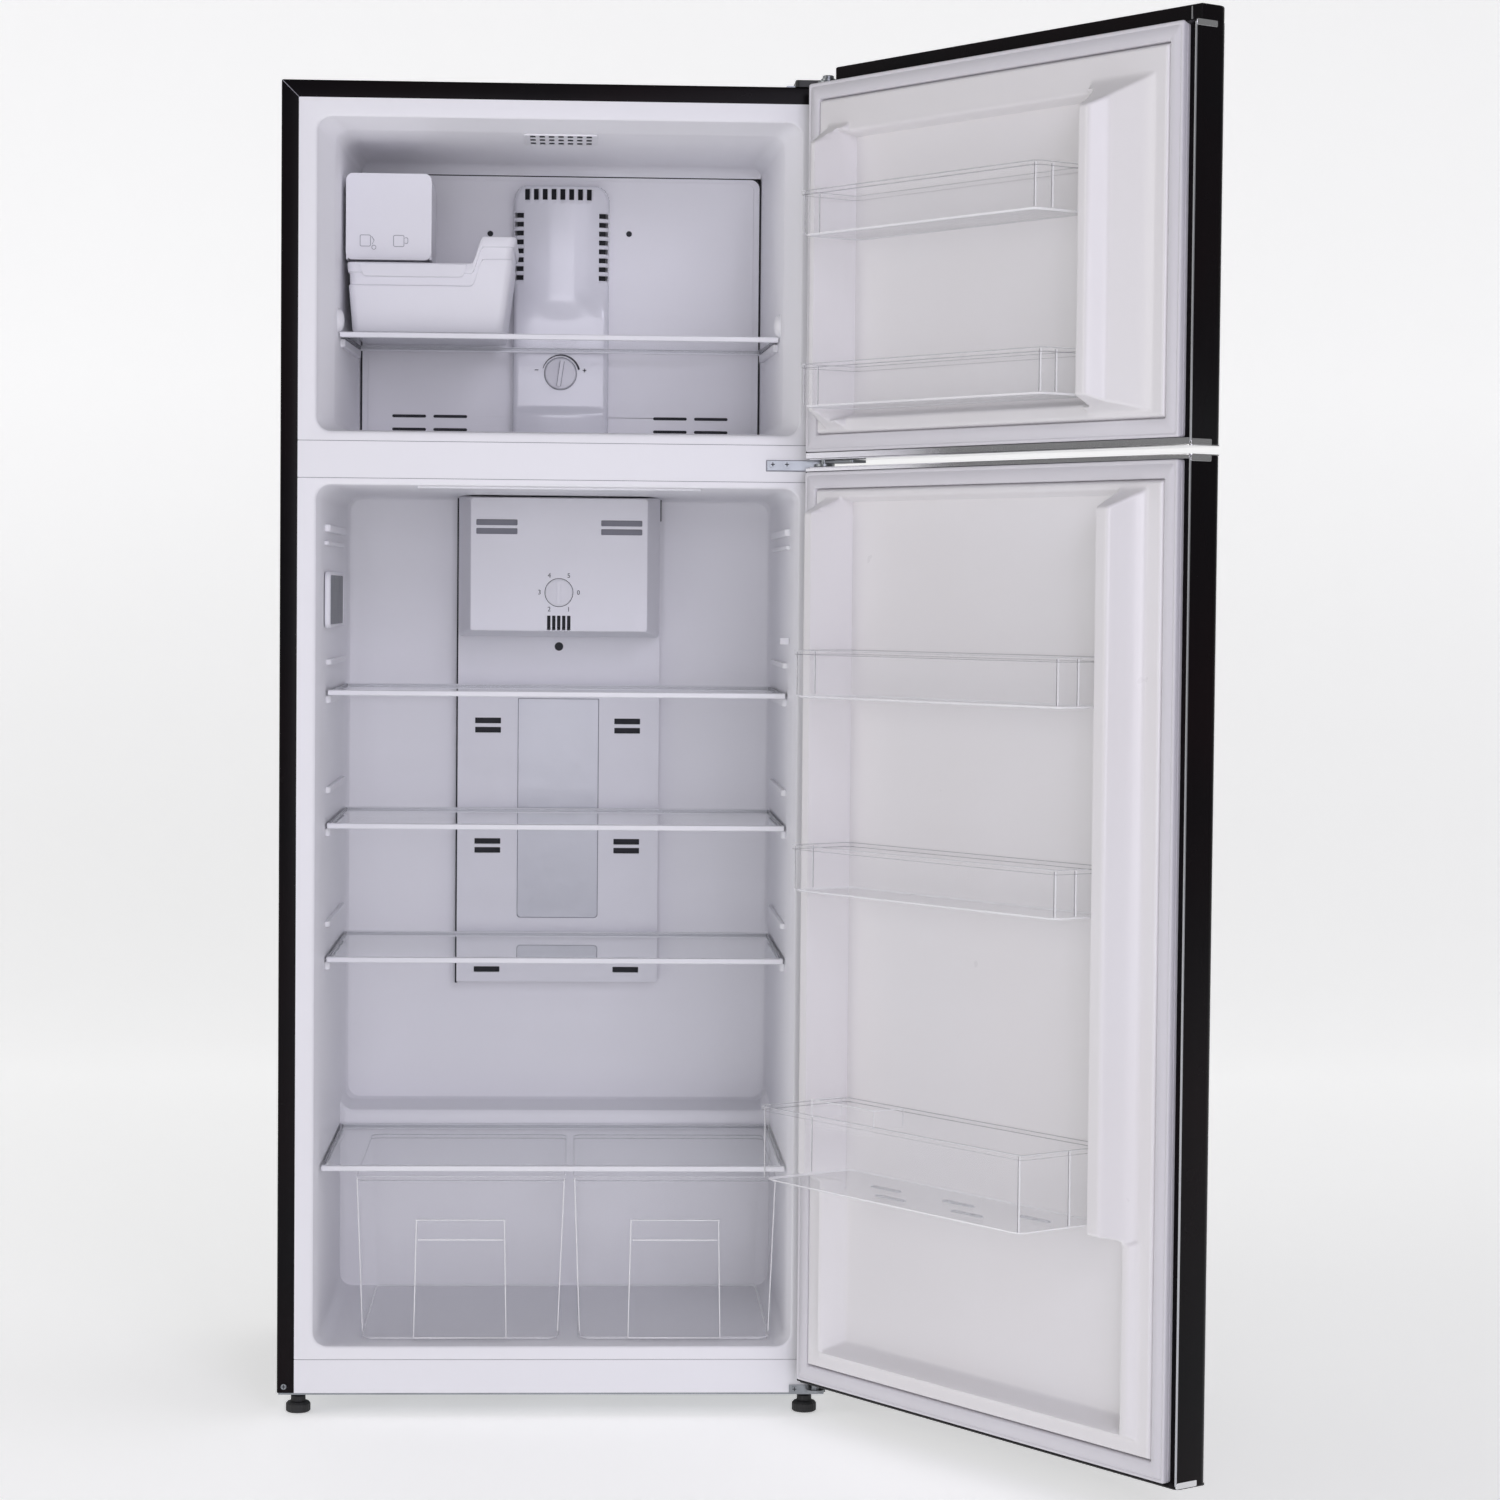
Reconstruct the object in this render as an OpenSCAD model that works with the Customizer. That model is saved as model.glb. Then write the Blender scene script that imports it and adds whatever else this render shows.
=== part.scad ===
// Two-door top freezer refrigerator with both doors standing open.
// Origin: on the floor, under the centre of the cabinet footprint.
// +Z is up, the door openings face -Y, and both doors hinge on the +X side.
// Depths inside the cabinet are measured back from the plane of its front face.

/* [Cabinet] */
// Width of the cabinet
cab_w = 700; // [690:1:720]
// Depth of the cabinet without its doors
cab_d = 590; // [580:1:640]
// Height of the cabinet's top surface above the floor
cab_top = 1689; // [1685:1:1700]
// Height of the cabinet's underside above the floor
cab_bottom = 28; // [27:0.5:29]
// Width of the black steel rim round the front
rim_w = 22; // [18:1:24]
// Thickness of the wrapper, drawn thicker than real sheet
sheet = 1.2; // [0.8:0.1:1.5]
// Thickness of the vacuum-formed liners
liner_t = 2; // [1.5:0.1:2.5]

/* [Compartments] */
// Bottom and top of the freezer opening
freezer_z = [1250, 1643];
// Bottom and top of the refrigerator opening
fridge_z = [88, 1182];
// Half width of both openings at the front face
open_half = 304; // [302:0.5:306]
// Bottom and top of the white rail between the openings
rail_z = [1190.5, 1238];
// Height of the line above the kick rail
kick_top = 71; // [68:1:74]
// Height of the raised floor over the machine compartment
hump_top = 333; // [328:1:338]
// Depth at which that raised floor starts
hump_depth = 405; // [402:1:410]

/* [Doors] */
// How far the doors stand open
open_angle = 124.5; // [100:0.5:128]
// Hinge axis, sideways from the centre
hinge_x = 335; // [334:0.5:336]
// Hinge axis, in front of the cabinet's front face
hinge_front = 26; // [25:0.5:27]
// Outer face of a closed door, in front of the cabinet's front face
door_front = 54; // [53:0.5:56]
// Plane behind which a closed door has only its gasket and liner
door_back = 12; // [11:0.5:13]
// Bottom and top of the freezer door
freezer_door_z = [1219, 1706];
// Bottom and top of the refrigerator door
fridge_door_z = [40, 1205];
// Bottom and top of the freezer door's gasket
freezer_gasket_z = [1223, 1684];
// Bottom and top of the refrigerator door's gasket
fridge_gasket_z = [52, 1203];
// Radius of a hinge pin
pin_r = 4.5; // [4:0.1:5]

/* [Shelves and drawers] */
// Heights of the three refrigerator shelves
shelf_z = [918, 746, 573];
// Half width of a refrigerator shelf
shelf_half = 295; // [293:0.5:295.5]
// Depth of the front edge of a refrigerator shelf
shelf_front = 88; // [87:1:92]
// Height of the freezer shelf
freezer_shelf_z = 1377; // [1375:1:1380]
// Height of the cover over the crisper drawers
cover_z = 312; // [310:1:313]

/* [Controls] */
// Radius of the freezer knob
knob_r = 21.4; // [20:0.2:22]
// Radius of the refrigerator dial
dial_r = 18.9; // [18:0.2:20]

/* [Hidden] */
$fn = 64;

black = [0.03, 0.03, 0.035];
white = [0.86, 0.86, 0.89];
zinc = [0.66, 0.68, 0.70];
clear = [0.85, 0.88, 0.90, 0.4];
dark = [0.08, 0.08, 0.09];

half = cab_w / 2;
front = -cab_d / 2;         // plane of the cabinet's front face
back = cab_d / 2;
eps = 0.01;
big = 100;                  // overshoot of a cutting solid

// Freezer compartment: the flared lip ends lip_d behind the front face.
lip_d = 45;
lip_half = 284;
lip_z = [1253, 1631];
freezer_rear = 495;
freezer_rear_half = 269;
freezer_wall = (lip_half - freezer_rear_half) / (freezer_rear - lip_d);   // taper per mm of depth

// Refrigerator compartment
fridge_lip_d = 30;
fridge_half = 298;
fridge_rear = 500;
fridge_rear_half = 296;

// Machine compartment behind the raised floor
bay_front = 452;
bay_half = 298;
bay_top = 290;

// Evaporator cover and the column that carries the fan
cover_d = 385;
cover_t = 3;
column_front = 348;
column_half = 64;
column_z = [1256, 1600];
fan_z = 1516;
fan_r = 50;
knob_z = 1346;
stem_r = 5;
fit = 0.05;                 // radial running clearance

// Refrigerator air duct and control box
duct_front = 470;
duct_half = 140;
duct_bottom = 497;
box_front = 362;
box_back = 430;
dial_z = 1049;

// Doors
door_half = 347;
gasket_half = 338;
gasket_face = 1;            // gap between a closed gasket and the cabinet
gasket_w = 22;
skin = 1;
skin_r = 12;
plateau = 3;                // raised liner field, in front of the cabinet's front face
pocket_d = 20;              // how far the liner's pocket sinks below the front face plane
dyke_d = 41;                // how far the side dykes reach into the compartment
notch_x = 290;              // the freezer door's top is cut away from here to the hinge
hinge_y = front - hinge_front;

// Drawers
drawer_front = 30;
drawer_back = 395;
drawer_z = [90, 301];
drawer_wall = 2;

function deep(d) = front + d;
function freezer_half(d) = lip_half - (d - lip_d) * freezer_wall;
function fridge_wall(d) = fridge_half
    - (d - fridge_lip_d) * (fridge_half - fridge_rear_half) / (fridge_rear - fridge_lip_d);

// ---- shared shapes -------------------------------------------------------

// Box between two corners
module span(lo, hi) {
    translate(lo) cube([hi[0] - lo[0], hi[1] - lo[1], hi[2] - lo[2]]);
}

// Rectangle with round corners, from corner lo to corner hi
module round_rect(lo, hi, r) {
    translate([lo[0] + r, lo[1]]) square([hi[0] - lo[0] - 2 * r, hi[1] - lo[1]]);
    translate([lo[0], lo[1] + r]) square([hi[0] - lo[0], hi[1] - lo[1] - 2 * r]);
    for (x = [lo[0] + r, hi[0] - r], y = [lo[1] + r, hi[1] - r]) translate([x, y]) circle(r);
}

// Panel in the XZ plane with round corners, from depth d0 back to depth d1
module wall_panel(x, z, d0, d1, r) {
    translate([0, deep(d1), 0]) rotate([90, 0, 0]) linear_extrude(d1 - d0)
        round_rect([x[0], z[0]], [x[1], z[1]], r);
}

// Closed-door position turned about the hinge axis to where the door stands
module on_door() {
    translate([hinge_x, hinge_y, 0]) rotate([0, 0, open_angle])
        translate([-hinge_x, -hinge_y, 0]) children();
}

// Open-topped tray: tapered outside and inside, wider at the top
module tray(x, y, z, lean, wall, floor_t) {
    module form(g, z0) {
        hull() {
            span([x[0] + lean + g, y[0] + lean / 2 + g, z0],
                 [x[1] - lean - g, y[1] - g, z0 + eps]);
            span([x[0] + g, y[0] + g, z[1] - eps], [x[1] - g, y[1] - g, z[1]]);
        }
    }
    difference() {
        form(0, z[0]);
        translate([0, 0, eps]) form(wall, z[0] + floor_t);
    }
}

// ---- cabinet -------------------------------------------------------------

// Space inside the freezer liner, grown by g
module freezer_space(g) {
    x = [lip_half + g, freezer_rear_half + g];
    translate([0, 0, lip_z[0] - g]) linear_extrude(lip_z[1] - lip_z[0] + 2 * g)
        polygon([[-x[0], deep(lip_d - 1)], [x[0], deep(lip_d - 1)],
                 [x[1], deep(freezer_rear + g)], [-x[1], deep(freezer_rear + g)]]);
    hull() {
        span([-open_half - g, deep(-1), freezer_z[0] - g],
             [open_half + g, deep(0), freezer_z[1] + g]);
        span([-x[0], deep(lip_d - 1), lip_z[0] - g], [x[0], deep(lip_d), lip_z[1] + g]);
    }
}

// Space inside the refrigerator liner, grown by g
module fridge_space(g) {
    x = [open_half + g, fridge_half + g, fridge_rear_half + g];
    rear = deep(fridge_rear + g);
    difference() {
        translate([0, 0, fridge_z[0] - g]) linear_extrude(fridge_z[1] - fridge_z[0] + 2 * g)
            polygon([[-x[0], deep(-1)], [x[0], deep(-1)], [x[0], deep(0)],
                     [x[1], deep(fridge_lip_d)], [x[2], rear], [-x[2], rear],
                     [-x[1], deep(fridge_lip_d)], [-x[0], deep(0)]]);
        span([-half, deep(hump_depth + g), 0], [half, rear + big, hump_top - g]);
    }
}

module cabinet_shell() {
    color(black) union() {
        difference() {
            span([-half, front, cab_bottom], [half, back, cab_top]);
            span([-half + sheet, front - 1, cab_bottom - 1],
                 [half - sheet, back + 1, cab_top - sheet]);
        }
        difference() {
            span([-half, front, cab_bottom], [half, front + sheet, cab_top]);
            span([-half + rim_w, front - 1, cab_bottom - 1],
                 [half - rim_w, front + 2 * sheet, cab_top - rim_w]);
        }
    }
}

module cabinet_foam() {
    color("khaki") difference() {
        span([-half + sheet, deep(liner_t), cab_bottom + 2],
             [half - sheet, back - sheet, cab_top - sheet]);
        freezer_space(liner_t);
        fridge_space(liner_t);
        switch_recess(sheet);
        span([-bay_half, deep(bay_front), 0], [bay_half, back + 1, bay_top]);
        span([-half, back - 2.2, 0], [half, back + 1, bay_top]);
    }
}

module freezer_liner() {
    color(white) difference() {
        union() {
            span([-half + rim_w, deep(0), rail_z[1]], [half - rim_w, deep(liner_t), cab_top - rim_w]);
            intersection() {
                freezer_space(liner_t);
                span([-half, deep(liner_t / 2), 0], [half, back, cab_top]);
            }
        }
        freezer_space(0);
    }
    z = freezer_shelf_z - 4.4;
    color(white) for (s = [-1, 1]) ledge(s, freezer_half(100), freezer_half(330), 100, 330, z, 10);
}

// Moulded rib that grows out of a liner's side wall, its top at height z;
// x0 and x1 are the wall's half widths at depths d0 and d1
module ledge(side, x0, x1, d0, d1, z, t) {
    reach = 8;
    root = liner_t / 2;
    translate([0, 0, z - t]) linear_extrude(t)
        polygon([[side * (x0 + root), deep(d0)], [side * (x1 + root), deep(d1)],
                 [side * (x1 - reach), deep(d1)], [side * (x0 - reach), deep(d0)]]);
}

module fridge_liner() {
    color(white) difference() {
        union() {
            span([-half + rim_w, deep(0), kick_top], [half - rim_w, deep(liner_t), rail_z[0]]);
            intersection() {
                fridge_space(liner_t);
                span([-half, deep(liner_t / 2), 0], [half, back, cab_top]);
            }
            switch_recess(sheet);
        }
        fridge_space(0);
        switch_recess(0);
    }
    color(white) for (s = [-1, 1], z = shelf_z) {
        fridge_ledge(s, z - 4.4, 10);
        fridge_ledge(s, z + 40, 8);
    }
    color(white) for (s = [-1, 1]) fridge_ledge(s, cover_z - 4.4, 8);
}

module fridge_ledge(side, z, t) {
    d = [60, hump_depth - 15];
    ledge(side, fridge_wall(d[0]), fridge_wall(d[1]), d[0], d[1], z, t);
}

// Recess in the refrigerator's side wall that the door switch slides into
module switch_recess(g) {
    span([fridge_half - 6, deep(switch_d - 6.5 - g), switch_z - 4.5 - g],
         [fridge_half + 14 + g, deep(switch_d + 6.5 + g), switch_z + 4.5 + g]);
}

module back_panel() {
    color(zinc) span([-half + sheet, back - sheet, bay_top], [half - sheet, back, cab_top - sheet]);
}

module mullion_rail() {
    color(white) span([-half + rim_w, deep(0), rail_z[0]], [half - rim_w, deep(liner_t), rail_z[1]]);
}

module kick_rail() {
    color(white) span([-half + rim_w, deep(0), cab_bottom], [half - rim_w, deep(liner_t), kick_top]);
}

// ---- base and machine compartment ----------------------------------------

foot_x = 324;
foot_d = 22;
roller_x = 300;
roller_d = 548;
roller_r = 12;
base_z = [cab_bottom - 3, cab_bottom];

module base_plate() {
    color(zinc) difference() {
        union() {
            span([-half + 2, deep(3), base_z[0]], [half - 2, back - 2, base_z[1]]);
            for (s = [-1, 1], dx = [-14, 11]) roller_ear(s * roller_x + dx);
            for (s = [-1, 1]) translate([s * roller_x - 14, deep(roller_d), roller_r])
                rotate([0, 90, 0]) cylinder(h = 28, r = 3);
        }
        for (s = [-1, 1]) translate([s * foot_x, deep(foot_d), base_z[0] - 1])
            cylinder(h = 5, r = stem_r + fit);
    }
}

// Ear that holds a roller axle
module roller_ear(x) {
    span([x, deep(roller_d - 8), roller_r - 5], [x + 3, deep(roller_d + 8), base_z[0]]);
}

module rear_rollers() {
    color(dark) for (s = [-1, 1]) translate([s * roller_x - 9, deep(roller_d), roller_r])
        rotate([0, 90, 0]) difference() {
            cylinder(h = 18, r = roller_r);
            translate([0, 0, -1]) cylinder(h = 20, r = 3 + fit);
        }
}

// Levelling foot: disc, waist and threaded stem
module levelling_foot(side) {
    color(dark) translate([side * foot_x, deep(foot_d), 0]) {
        rotate_extrude() polygon([[0, 0], [14, 0], [15.5, 2], [15.5, 10], [13, 13], [8.5, 14],
            [8.5, 20], [stem_r, 21], [stem_r, cab_bottom + 1.5], [0, cab_bottom + 1.5]]);
    }
}

module foot_left() levelling_foot(-1);
module foot_right() levelling_foot(1);

compressor_x = -120;
compressor_d = 522;

module compressor() {
    color(dark) translate([compressor_x, deep(compressor_d), cab_bottom + 12]) rotate_extrude()
        polygon(concat([[0, 0], [52, 0], [58, 8], [58, 92]],
            [for (a = [0 : 15 : 90]) [58 * cos(a), 92 + 40 * sin(a)]]));
    color(dark) translate([compressor_x, deep(compressor_d), cab_bottom]) {
        for (sx = [-1, 1], sy = [-1, 1]) translate([sx * 62, sy * 48, 0]) cylinder(h = 12, r = 9);
        span([-70, -54, 11], [70, 54, 14]);
    }
}

module drip_tray() {
    color(black) tray([60, 260], [deep(470), deep(575)], [base_z[1], base_z[1] + 40], 6, 2, 2);
}

module machine_cover() {
    slots = 12;
    color(dark) difference() {
        span([-half + 8, back - 2, base_z[1] + 2], [half - 8, back, bay_top - 2]);
        for (i = [0 : slots - 1]) span([-230 + i * 40, back - 3, 90], [-210 + i * 40, back + 1, 230]);
        translate([gland_x, back - 3, gland_z]) rotate([-90, 0, 0]) cylinder(h = 4, r = gland_r + fit);
    }
}

gland_x = 268;
gland_z = 60;
gland_r = 9;

// Bush for the supply cord; the cord itself is not part of the model
module cord_gland() {
    color(dark) translate([gland_x, back, gland_z]) rotate([90, 0, 0]) rotate_extrude()
        polygon([[4, -6], [11, -6], [13, -4], [13, 0], [gland_r, 0], [gland_r, 2],
                 [12, 2], [12, 5], [4, 5]]);
}

// ---- freezer fittings ----------------------------------------------------

module evaporator() {
    fins = 18;
    color(zinc) union() {
        for (i = [0 : fins - 1]) translate([-212 + i * 25, 0, 0])
            span([0, deep(415), 1290], [1, deep(475), 1440]);
        for (z = [1310, 1350, 1390, 1420], d = [430, 460]) translate([-225, deep(d), z])
            rotate([0, 90, 0]) cylinder(h = 450, r = 4);
    }
}

module fan_motor() {
    d = cover_d + cover_t;
    color(dark) {
        translate([0, deep(d + 6), fan_z]) rotate([-90, 0, 0]) {
            cylinder(h = 40, r = 26);
            translate([0, 0, -15]) cylinder(h = 16, r = 2);
        }
        span([-fan_r - 14, deep(d), fan_z - 6], [fan_r + 14, deep(d + 6.5), fan_z + 6]);
    }
}

module evaporator_fan() {
    blades = 5;
    color(dark) translate([0, deep(cover_d - 19), fan_z]) rotate([-90, 0, 0]) difference() {
        union() {
            cylinder(h = 20, r = 15);
            for (a = [0 : 360 / blades : 359]) rotate([0, 0, a]) translate([0, 0, 9])
                rotate([28, 0, 0]) translate([10, -13, -1]) cube([fan_r - 14, 26, 2]);
        }
        translate([0, 0, 8]) cylinder(h = 20, r = 2 + fit);
    }
}

module evaporator_cover() {
    gap = 0.5;
    color(white) difference() {
        wall_panel([-freezer_half(cover_d) + gap, freezer_half(cover_d) - gap],
                   [lip_z[0] + gap, 1615], cover_d, cover_d + cover_t, 14);
        translate([0, deep(cover_d - 1), fan_z]) rotate([-90, 0, 0])
            cylinder(h = 6, r = fan_r + 6);
        for (s = [-1, 1], x = [145, 205], z = [1268, 1286])
            span([s * x - 23, deep(cover_d - 1), z], [s * x + 23, deep(cover_d + 5), z + 5]);
    }
}

module fan_duct_cover() {
    wall = 2.5;
    color(white) difference() {
        wall_panel([-column_half, column_half], column_z, column_front, cover_d, 10);
        wall_panel([-column_half + wall, column_half - wall], [column_z[0] + wall, column_z[1] - wall],
                   column_front + wall, cover_d + 1, 8);
        for (i = [0 : 7]) {
            span([-45 + i * 11.7, deep(column_front - 1), 1578],
                 [-39 + i * 11.7, deep(column_front + 5), 1593]);
            for (s = [-1, 1]) span([s * 56 - 9, deep(column_front - 1), 1472 + i * 12],
                                   [s * 56 + 9, deep(column_front + 5), 1479 + i * 12]);
        }
        translate([0, deep(column_front - 1), knob_z]) rotate([-90, 0, 0])
            cylinder(h = 5, r = stem_r + fit);
    }
}

// Round control with a grip bar and a stem that runs in the panel behind it
module knob(depth, z, r, rise, stem) {
    translate([0, deep(depth), z]) rotate([90, 0, 0]) {
        translate([0, 0, 0.3]) cylinder(h = rise, r = r);
        translate([-2.5, -r * 0.8, rise]) cube([5, r * 1.6, 3]);
        translate([0, 0, -stem]) cylinder(h = stem + 0.4, r = stem_r);
    }
}

module freezer_knob() {
    color(white) knob(column_front, knob_z, knob_r, 7, 8);
}

maker_x = [-276, -166];
maker_z = [1476, 1586];
maker_d = [115, 268];

module ice_maker_housing() {
    wall = 3;
    color(white) difference() {
        wall_panel(maker_x, maker_z, maker_d[0], maker_d[1], 6);
        span([maker_x[0] + wall, deep(maker_d[0] + wall), maker_z[0] - 1],
             [maker_x[1] - wall, deep(maker_d[1] - wall), maker_z[1] - wall]);
        for (d = [maker_d[0] - 1, maker_d[1] - wall - 1]) tray_axis(d, wall + 2, 4 + fit);
    }
}

// Axis on which the ice tray turns
tray_z = 1530;
module tray_axis(d, length, r) {
    translate([(maker_x[0] + maker_x[1]) / 2, deep(d), tray_z]) rotate([-90, 0, 0])
        cylinder(h = length, r = r);
}

module ice_tray() {
    mid = (maker_x[0] + maker_x[1]) / 2;
    d = [maker_d[0] + 9, maker_d[1] - 9];
    color(white) {
        difference() {
            span([mid - 41, deep(d[0]), tray_z - 28], [mid + 41, deep(d[1]), tray_z + 5]);
            for (i = [0 : 3]) span([mid - 38, deep(d[0] + 3 + i * 33), tray_z - 25],
                                   [mid + 38, deep(d[0] + 33 + i * 33), tray_z + 6]);
        }
        tray_axis(d[0] - 8, 9, 4);
        tray_axis(d[1] - 1, 9, 4);
    }
}

bin_x = [-273, -58];
bin_z = [1381.5, 1506];
bin_low = 1467;
bin_d = [100, 340];

module ice_bin() {
    color(white) difference() {
        tray(bin_x, [deep(bin_d[0]), deep(bin_d[1])], bin_z, 7, 2.5, 2.5);
        translate([0, deep(bin_d[0] - 5), 0]) rotate([90, 0, 0]) mirror([0, 0, 1])
            linear_extrude(bin_d[1] - bin_d[0] + 10)
                polygon([[bin_x[0] - 5, bin_low], [-112, bin_low], [-98, bin_z[1] + 1],
                         [bin_x[0] - 5, bin_z[1] + 1]]);
    }
}

// Shelf with a glass centre: a plate with deeper front and rear trims
module shelf_plate(x0, x1, d0, d1, z) {
    translate([0, 0, z - 2]) linear_extrude(4)
        polygon([[-x0, deep(d0 + 1)], [x0, deep(d0 + 1)], [x1, deep(d1 - 1)], [-x1, deep(d1 - 1)]]);
    span([-x0, deep(d0), z - 4], [x0, deep(d0 + 9), z + 3]);
    span([-x1, deep(d1 - 9), z - 4], [x1, deep(d1), z + 3]);
}

module freezer_shelf() {
    color(clear) shelf_plate(freezer_half(80) - 1.5, freezer_half(345) - 1.5, 80, 345, freezer_shelf_z);
}

// ---- refrigerator fittings -----------------------------------------------

module fridge_shelf(z) {
    color(clear) shelf_plate(shelf_half, shelf_half, shelf_front, 460, z);
}

module shelf_1() fridge_shelf(shelf_z[0]);
module shelf_2() fridge_shelf(shelf_z[1]);
module shelf_3() fridge_shelf(shelf_z[2]);

module crisper_cover() {
    color(clear) shelf_plate(shelf_half + 1, shelf_half, 25, hump_depth - 2, cover_z);
}

// Clear drawer; its front has a raised centre panel that forms the grip
module crisper(x) {
    grip = 58;
    mid = (x[0] + x[1]) / 2;
    color(clear) {
        tray(x, [deep(drawer_front), deep(drawer_back)], drawer_z, 12, drawer_wall, drawer_wall);
        difference() {
            span([mid - grip, deep(drawer_front - 6), drawer_z[0]],
                 [mid + grip, deep(drawer_front + 7), 246]);
            span([mid - grip + 2, deep(drawer_front - 4), drawer_z[0] - 1],
                 [mid + grip - 2, deep(drawer_front + 8), 244]);
        }
    }
}

module crisper_left() crisper([-258, 8]);
module crisper_right() crisper([13, 283]);

module air_duct_panel() {
    color(white) difference() {
        span([-duct_half, deep(duct_front), duct_bottom], [duct_half, deep(fridge_rear), fridge_z[1]]);
        span([-duct_half + 3, deep(duct_front + 3), duct_bottom + 3],
             [duct_half - 3, deep(fridge_rear + 1), fridge_z[1] - 3]);
        for (s = [-1, 1], z = [854, 867, 687, 700, 518, 531])
            span([s * 98 - 17, deep(duct_front - 1), z], [s * 98 + 17, deep(duct_front + 20), z + 6]);
    }
}

module control_box() {
    color(white) difference() {
        union() {
            hull() {
                span([-120, deep(box_front), 997], [120, deep(box_front + 1), fridge_z[1]]);
                span([-138, deep(box_back - 1), 988], [138, deep(box_back), fridge_z[1]]);
            }
            span([-138, deep(box_back - 1), 988], [138, deep(duct_front), fridge_z[1]]);
        }
        hull() {
            span([-117, deep(box_front + 4), 1001], [117, deep(box_front + 5), fridge_z[1] - 3]);
            span([-135, deep(box_back - 1), 992], [135, deep(box_back), fridge_z[1] - 3]);
        }
        span([-135, deep(box_back - 1), 992], [135, deep(duct_front + 1), fridge_z[1] - 3]);
        for (s = [-1, 1], z = [1129, 1140])
            span([s * 85 - 28, deep(box_front - 1), z], [s * 85 + 28, deep(box_front + 12), z + 7]);
        for (i = [-2 : 2])
            span([i * 6.8 - 2, deep(box_front - 1), 998], [i * 6.8 + 2, deep(box_front + 12), 1017]);
        translate([0, deep(box_front - 1), dial_z]) rotate([-90, 0, 0]) {
            cylinder(h = 3, r = dial_r + 0.6);
            cylinder(h = 14, r = stem_r + fit);
        }
    }
}

module fridge_dial() {
    color(white) knob(box_front + 2, dial_z, dial_r, 3, 8);
}

lamp_x = -fridge_half + 1.6;
lamp_d = [55, 330];
lamp_z = [1001, 1073];

module side_lamp_frame() {
    color(white) difference() {
        span([lamp_x, deep(lamp_d[0]), lamp_z[0]], [lamp_x + 7, deep(lamp_d[1]), lamp_z[1]]);
        span([lamp_x - 1, deep(lamp_d[0] + 14), lamp_z[0] + 8],
             [lamp_x + 8, deep(lamp_d[1] - 14), lamp_z[1] - 8]);
    }
}

module side_lamp_lens() {
    color(dark) span([lamp_x, deep(lamp_d[0] + 14.1), lamp_z[0] + 8.1],
                     [lamp_x + 5, deep(lamp_d[1] - 14.1), lamp_z[1] - 8.1]);
}

switch_z = 989;
switch_d = 54;

module door_switch() {
    color(white) translate([fridge_half - 1.5, deep(switch_d), switch_z]) {
        translate([-11, -6, -4]) cube([11, 12, 8]);
    }
}

// ---- hinges --------------------------------------------------------------

plate_t = 3;
gap_z = 1212;               // middle of the gap between the doors

// Tongue of a hinge plate, from the cabinet forward round the pin
module hinge_tongue(z, width, depth) {
    translate([hinge_x, hinge_y, z]) cylinder(h = plate_t, r = width / 2);
    span([hinge_x - width / 2, hinge_y, z], [hinge_x + width / 2, deep(depth), z + plate_t]);
}

module hinge_pin(z0, z1) {
    translate([hinge_x, hinge_y, z0]) cylinder(h = z1 - z0, r = pin_r);
}

module top_hinge() {
    color(zinc) union() {
        hinge_tongue(cab_top, 26, 20);
        span([285, deep(12), cab_top], [half - 2, deep(60), cab_top + plate_t]);
        hinge_pin(cab_top - 13, cab_top + plate_t + 6);
    }
}

module hinge_cover() {
    low = cab_top + plate_t;
    color(black) difference() {
        span([280, deep(1), cab_top + 0.2], [half - 0.5, deep(70), low + 12]);
        span([282, deep(0), cab_top], [half - 1.5, deep(68), low + 10]);
    }
}

module middle_hinge() {
    z = gap_z - plate_t / 2;
    color(zinc) union() {
        hinge_tongue(z, 24, 0);
        span([264, deep(-2), 1206], [half - 3, deep(0), 1218]);
        hinge_pin(z - 20, z + plate_t + 22);
    }
}

module bottom_hinge() {
    z = fridge_door_z[0] - 2 - plate_t;
    color(zinc) union() {
        hinge_tongue(z, 24, 0);
        span([303, deep(-2), cab_bottom], [half - 2, deep(0), z + plate_t]);
        hinge_pin(z, z + plate_t + 22);
    }
}

module hinge_screws() {
    color(zinc) {
        for (x = [271, 289]) translate([x, deep(-2), 1213.5]) rotate([90, 0, 0])
            cylinder(h = 2, r = 4.5);
        for (x = [300, 322]) translate([x, deep(40), cab_top + plate_t]) cylinder(h = 3, r = 5);
        translate([310, deep(-2), 33]) rotate([90, 0, 0]) cylinder(h = 2, r = 3.5);
        translate([-half + 9, front, 36]) rotate([90, 0, 0]) cylinder(h = 1.5, r = 3.5);
    }
}

// ---- doors ---------------------------------------------------------------

// Plan outline of a door body, its two outer corners rounded, shrunk by g
module door_plan(g) {
    y = [deep(-door_front) + g, deep(-door_back)];
    r = skin_r - g;
    x = door_half - g;
    translate([-x + r, y[0]]) square([2 * (x - r), y[1] - y[0]]);
    translate([-x, y[0] + r]) square([2 * x, y[1] - y[0] - r]);
    for (s = [-1, 1]) translate([s * (x - r), y[0] + r]) circle(r);
}

// The freezer door's top is lower near the hinge, where the hinge plate passes over it
module hinge_notch(z) {
    span([notch_x, deep(-80), z], [half + 5, deep(20), cab_top + 40]);
}

module skin_body(z) {
    difference() {
        translate([0, 0, z[0]]) linear_extrude(z[1] - z[0]) door_plan(0);
        translate([0, 0, z[0] - 1]) linear_extrude(z[1] - z[0] + 2) intersection() {
            door_plan(skin);
            translate([-half, deep(-60)]) square([2 * half, 60 - door_back - skin]);
        }
        span([-gasket_half, deep(-door_back - 2 * skin), z[0] - 1],
             [gasket_half, deep(0), z[1] + 1]);
    }
}

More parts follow.
